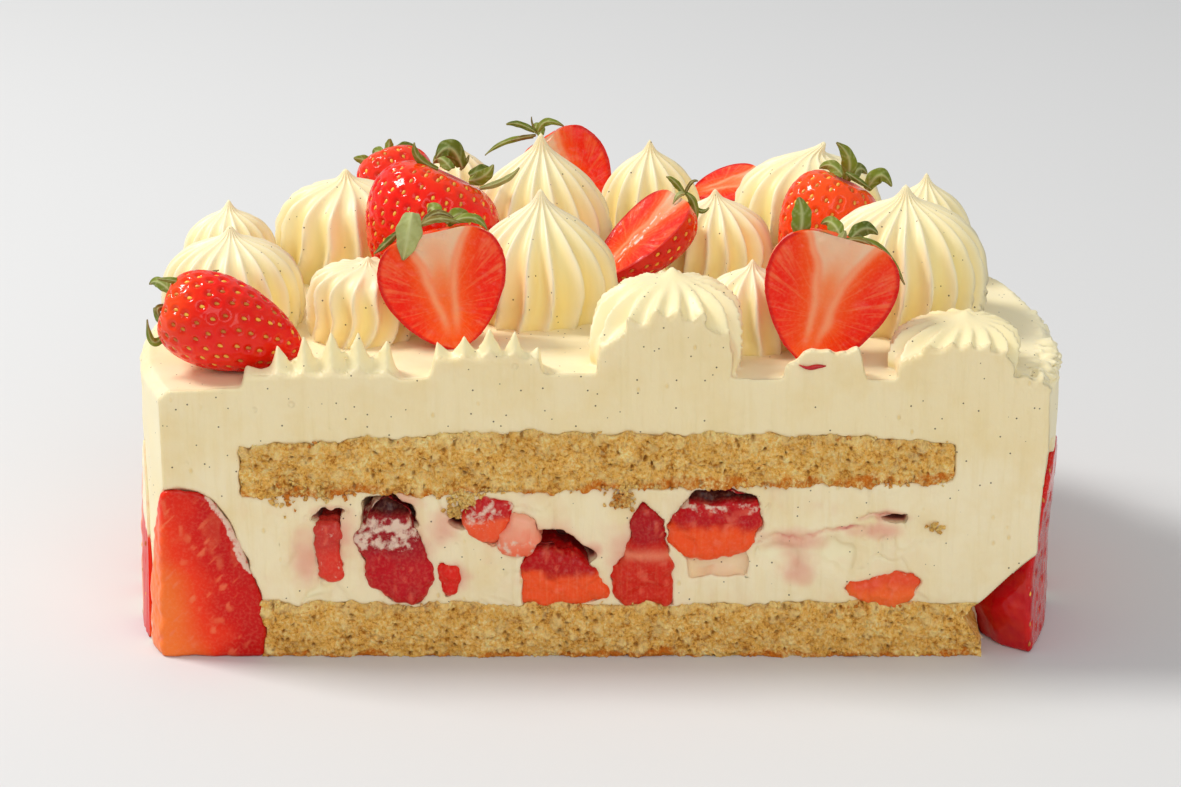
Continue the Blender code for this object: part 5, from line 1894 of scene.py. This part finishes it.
@dataclass
class EndBerry:
    """The first or the last berry of the wall, which the knife went through or laid open.

    opened says that its flesh shows, knobbly how rough it is.
    """
    node: str
    opened: bool
    seed: int
    knobbly: float
    triangles: int = 40000

    def open_flesh(self, at: Array, wander: Array) -> tuple[Array, Array]:
        """Colours of the opened one: orange, redder to the right, pale dashes, cream at its edge.

        Args:
            at: Places.
            wander: Smooth noise.
        Returns:
            The colours, and how much cream is smeared on them.
        """
        x, _y, z = at.T
        low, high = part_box(self.node)
        tall = z / high.z
        fine = smooth_noise(at * (1.0, 1.0, 0.6), 0.0016, self.seed + 3)
        share = smoothstep(1.05 * (x - low.x) / (high.x - low.x) + 0.45 * tall - 0.08
                           + 0.16 * wander)
        colour = blend(tone(255, 126, 48), tone(250, 56, 14), share * 1.9)
        colour = blend(colour, tone(216, 10, 2), rise(share, 0.45, 0.5))
        slant = np.stack([(x - 0.9 * z) * 0.9, 0.22 * (z + 0.9 * x)], 1)
        dash = smoothstep((smooth_noise(slant, 0.0009, self.seed + 4) + 0.4 * fine - 0.62) / 0.3)
        patch = np.maximum(0.50 * smoothstep((fine + 0.7 * wander - 0.40) / 0.5), 0.65 * dash)
        colour = blend(colour, tone(250, 128, 82), patch)
        shelf = np.clip((z / MM).astype(int), 0, 60)
        ends = np.array([x[shelf == k].max(initial=low.x) for k in range(61)])
        beside = np.interp(z, (np.arange(61) + 0.5) * MM, ends) - x
        creamy = smoothstep((0.0022 + 0.0010 * wander - beside) / 0.0014) * rise(tall, 0.42, 0.12)
        smear = 0.28 * rise(tall, 0.84, 0.16) + 0.50 * rise(x, low.x + 0.0010, -0.0010)
        redder = smoothstep((0.0075 + 0.002 * wander - beside) / 0.005) * 0.6
        return blend(colour, tone(196, 6, 4), redder), np.maximum(smear, 0.66 * creamy)

    def lay_seeds(self, at: Array, normal: Array, seeds: SeedBag) -> Array:
        """Lay seeds over the skin, about 5 mm apart.

        Args:
            at: Places of the berry's vertices.
            normal: Their normals.
            seeds: Collects the seeds.
        Returns:
            The places of the seeds.
        """
        random = np.random.default_rng(31)
        chosen: list[int] = []
        for k in random.permutation(len(at)):
            if normal[k, 0] < 0.35 or at[k, 2] < 0.002:
                continue
            if all(np.linalg.norm(at[k] - at[j]) > 0.0048 for j in chosen):
                chosen.append(int(k))
            if len(chosen) >= 70:
                break
        for k in chosen:
            seeds.add(at[k] - normal[k] * 0.00036, normal[k], np.array((0.0, 0.0, 1.0)), 0.00060)
        return at[chosen]

    def build(self, looks: Looks, seeds: SeedBag) -> None:
        """Round and colour the berry; the last one shows its skin and seeds.

        Args:
            looks: The finishes.
            seeds: Collects its seeds.
        """
        piece = node_copy(self.node, "open_" + self.node)
        new_skin(piece, 0.0004, 14)
        at, normal = points_of(piece), normals_of(piece)
        rough = waves(at, (0.00028, 0.004, self.seed), (0.00020, 0.0014, self.seed + 1))
        at += normal * (rough * self.knobbly + 0.00050)[:, None]
        wander = smooth_noise(at, 0.006, self.seed + 2)
        if self.opened:
            colour, smear = self.open_flesh(at, wander)
        else:
            at, pressed = dimples(at, normal, self.lay_seeds(at, normal, seeds), 0.0008, 0.0004)
            colour = blend(tone(172, 0, 18), tone(226, 6, 16), 0.5 + 0.5 * wander)
            # Painted shade in the dimples round the seeds
            colour, smear = blend(colour, tone(120, 6, 8), 0.3 * pressed), 0.0
        x, _y, z = at.T
        z[:] = np.maximum(z, 0.0)
        move_points(piece, at)
        store(piece, tint=colour, smear=smear, fibrous=0.0, ray=(x - 0.55 * z) / 0.010,
              reach=(z + 0.55 * x) / 0.016)
        thin_out(piece, self.triangles)
        finish_piece(piece, looks.flesh if self.opened else looks.skin, [self.node])


@dataclass
class Sliver:
    """The sliver of red skin that shows in the ragged block of cream."""
    place: Pair = (0.0452, 0.0655)
    half: float = 0.0029
    red: Colour = tone(176, 20, 36)

    def build(self, looks: Looks) -> None:
        """Bend a small round start into a thin crescent."""
        piece, _share, _turn = ball("skin_sliver", 40, 20)
        at = points_of(piece)
        x = at[:, 0] * self.half
        thick = 0.00055 * (1.0 - 0.5 * np.abs(at[:, 0])) * (1.0 + 0.2 * np.sin(900.0 * x))
        z = at[:, 2] * thick + 0.00045 * (at[:, 0] ** 2) + 0.00015 * np.sin(1400.0 * x)
        move_points(piece, np.stack([self.place[0] + x, CUT + 0.0002 + 0.0006 * at[:, 1],
                                     self.place[1] + z], 1))
        store(piece, tint=self.red)
        finish_piece(piece, looks.skin)


# The room


@dataclass(frozen=True)
class Lamp:
    """A soft square lamp that looks at the cake."""
    name: str
    place: Place
    size: float
    power: float
    colour: Colour
    aim: Place = (0.0, -0.02, 0.05)

    def build(self) -> None:
        """Hang the lamp."""
        light = bpy.data.lights.new(self.name, "AREA")
        light.size, light.energy, light.color = self.size, self.power, self.colour
        lamp = bpy.data.objects.new(self.name, light)
        lamp.location = self.place
        lamp.rotation_euler = (Vector(self.aim)
                               - Vector(self.place)).to_track_quat("-Z", "Y").to_euler()
        bpy.context.scene.collection.objects.link(lamp)


@dataclass(frozen=True)
class Studio:
    """The floor, the lamps, the sky and the camera.

    reach is the camera's focal length against the width of the picture, down its tilt in degrees.
    """
    lamps: tuple[Lamp, ...] = (
        Lamp("key", (-0.98, 0.24, 1.28), 0.42, 18.6, (1.0, 0.985, 0.96)),
        Lamp("front", (0.35, -1.5, 1.1), 1.2, 9.2, (1.0, 0.99, 0.97)),
    )
    sky: Colour = (0.96, 0.98, 1.0)
    sky_power: float = 0.47
    eye: Place = (-0.0009, -0.63255, 0.254)
    reach: float = 2850.0 / 1181.0
    down: float = 19.09

    def build(self) -> None:
        """Set up the room and the camera."""
        clear_selection()
        bpy.ops.mesh.primitive_grid_add(x_subdivisions=8, y_subdivisions=8, size=8.0,
                                        location=(0.0, 0.0, 0.0))
        floor = name_piece(bpy.context.object, "floor")
        floor.data.materials.append(FloorFinish().make())
        for lamp in self.lamps:
            lamp.build()
        world = bpy.data.worlds.new("sky")
        world.use_nodes = True
        background = world.node_tree.nodes["Background"]
        background.inputs[0].default_value = (*self.sky, 1.0)
        background.inputs[1].default_value = self.sky_power
        bpy.context.scene.world = world
        camera = bpy.data.cameras.new("camera")
        camera.sensor_width = 36.0
        camera.lens = self.reach * camera.sensor_width
        camera.clip_start, camera.clip_end = 0.05, 20.0
        eye = bpy.data.objects.new("camera", camera)
        eye.location = self.eye
        eye.rotation_euler = (math.radians(90.0 - self.down), 0.0, 0.0)
        bpy.context.scene.collection.objects.link(eye)
        bpy.context.scene.camera = eye
        bpy.context.scene.view_settings.view_transform = "Standard"


def main() -> None:
    """Dress the whole cake, piece by piece."""
    logging.basicConfig(level=logging.INFO, format="%(name)s: %(message)s")
    Studio().build()
    looks = Looks(*(finish().make()
                    for finish in (CreamFinish, CrumbFinish, SkinFinish, FleshFinish, SeedFinish,
                                   LeafFinish)))
    seeds = SeedBag()
    CreamBody().build(looks)
    SpongeLayer("sponge_bottom", 0.0050, 0.0767, 21, True).build(looks)
    SpongeLayer("sponge_top", 0.0005, 0.0743, 31, False).build(looks)
    LooseCrumbs().build(looks)
    for kiss in KISSES:
        kiss.build(looks)
    for berry in BERRIES:
        berry.build(looks, seeds)
    for berry, leaves in CAPS.items():
        Cap(berry, leaves).build(looks)
    for index in range(1, 11):
        WallBerry(index, creamed=index == 1).build(looks, seeds)
    EndBerry("wall_berry_01", True, 301, 1.0).build(looks, seeds)
    EndBerry("wall_berry_12", False, 311, 0.4).build(looks, seeds)
    for fruit in FRUITS:
        fruit.build(looks)
    Sliver().build(looks)
    seeds.build(looks)


if __name__ == "__main__":
    main()
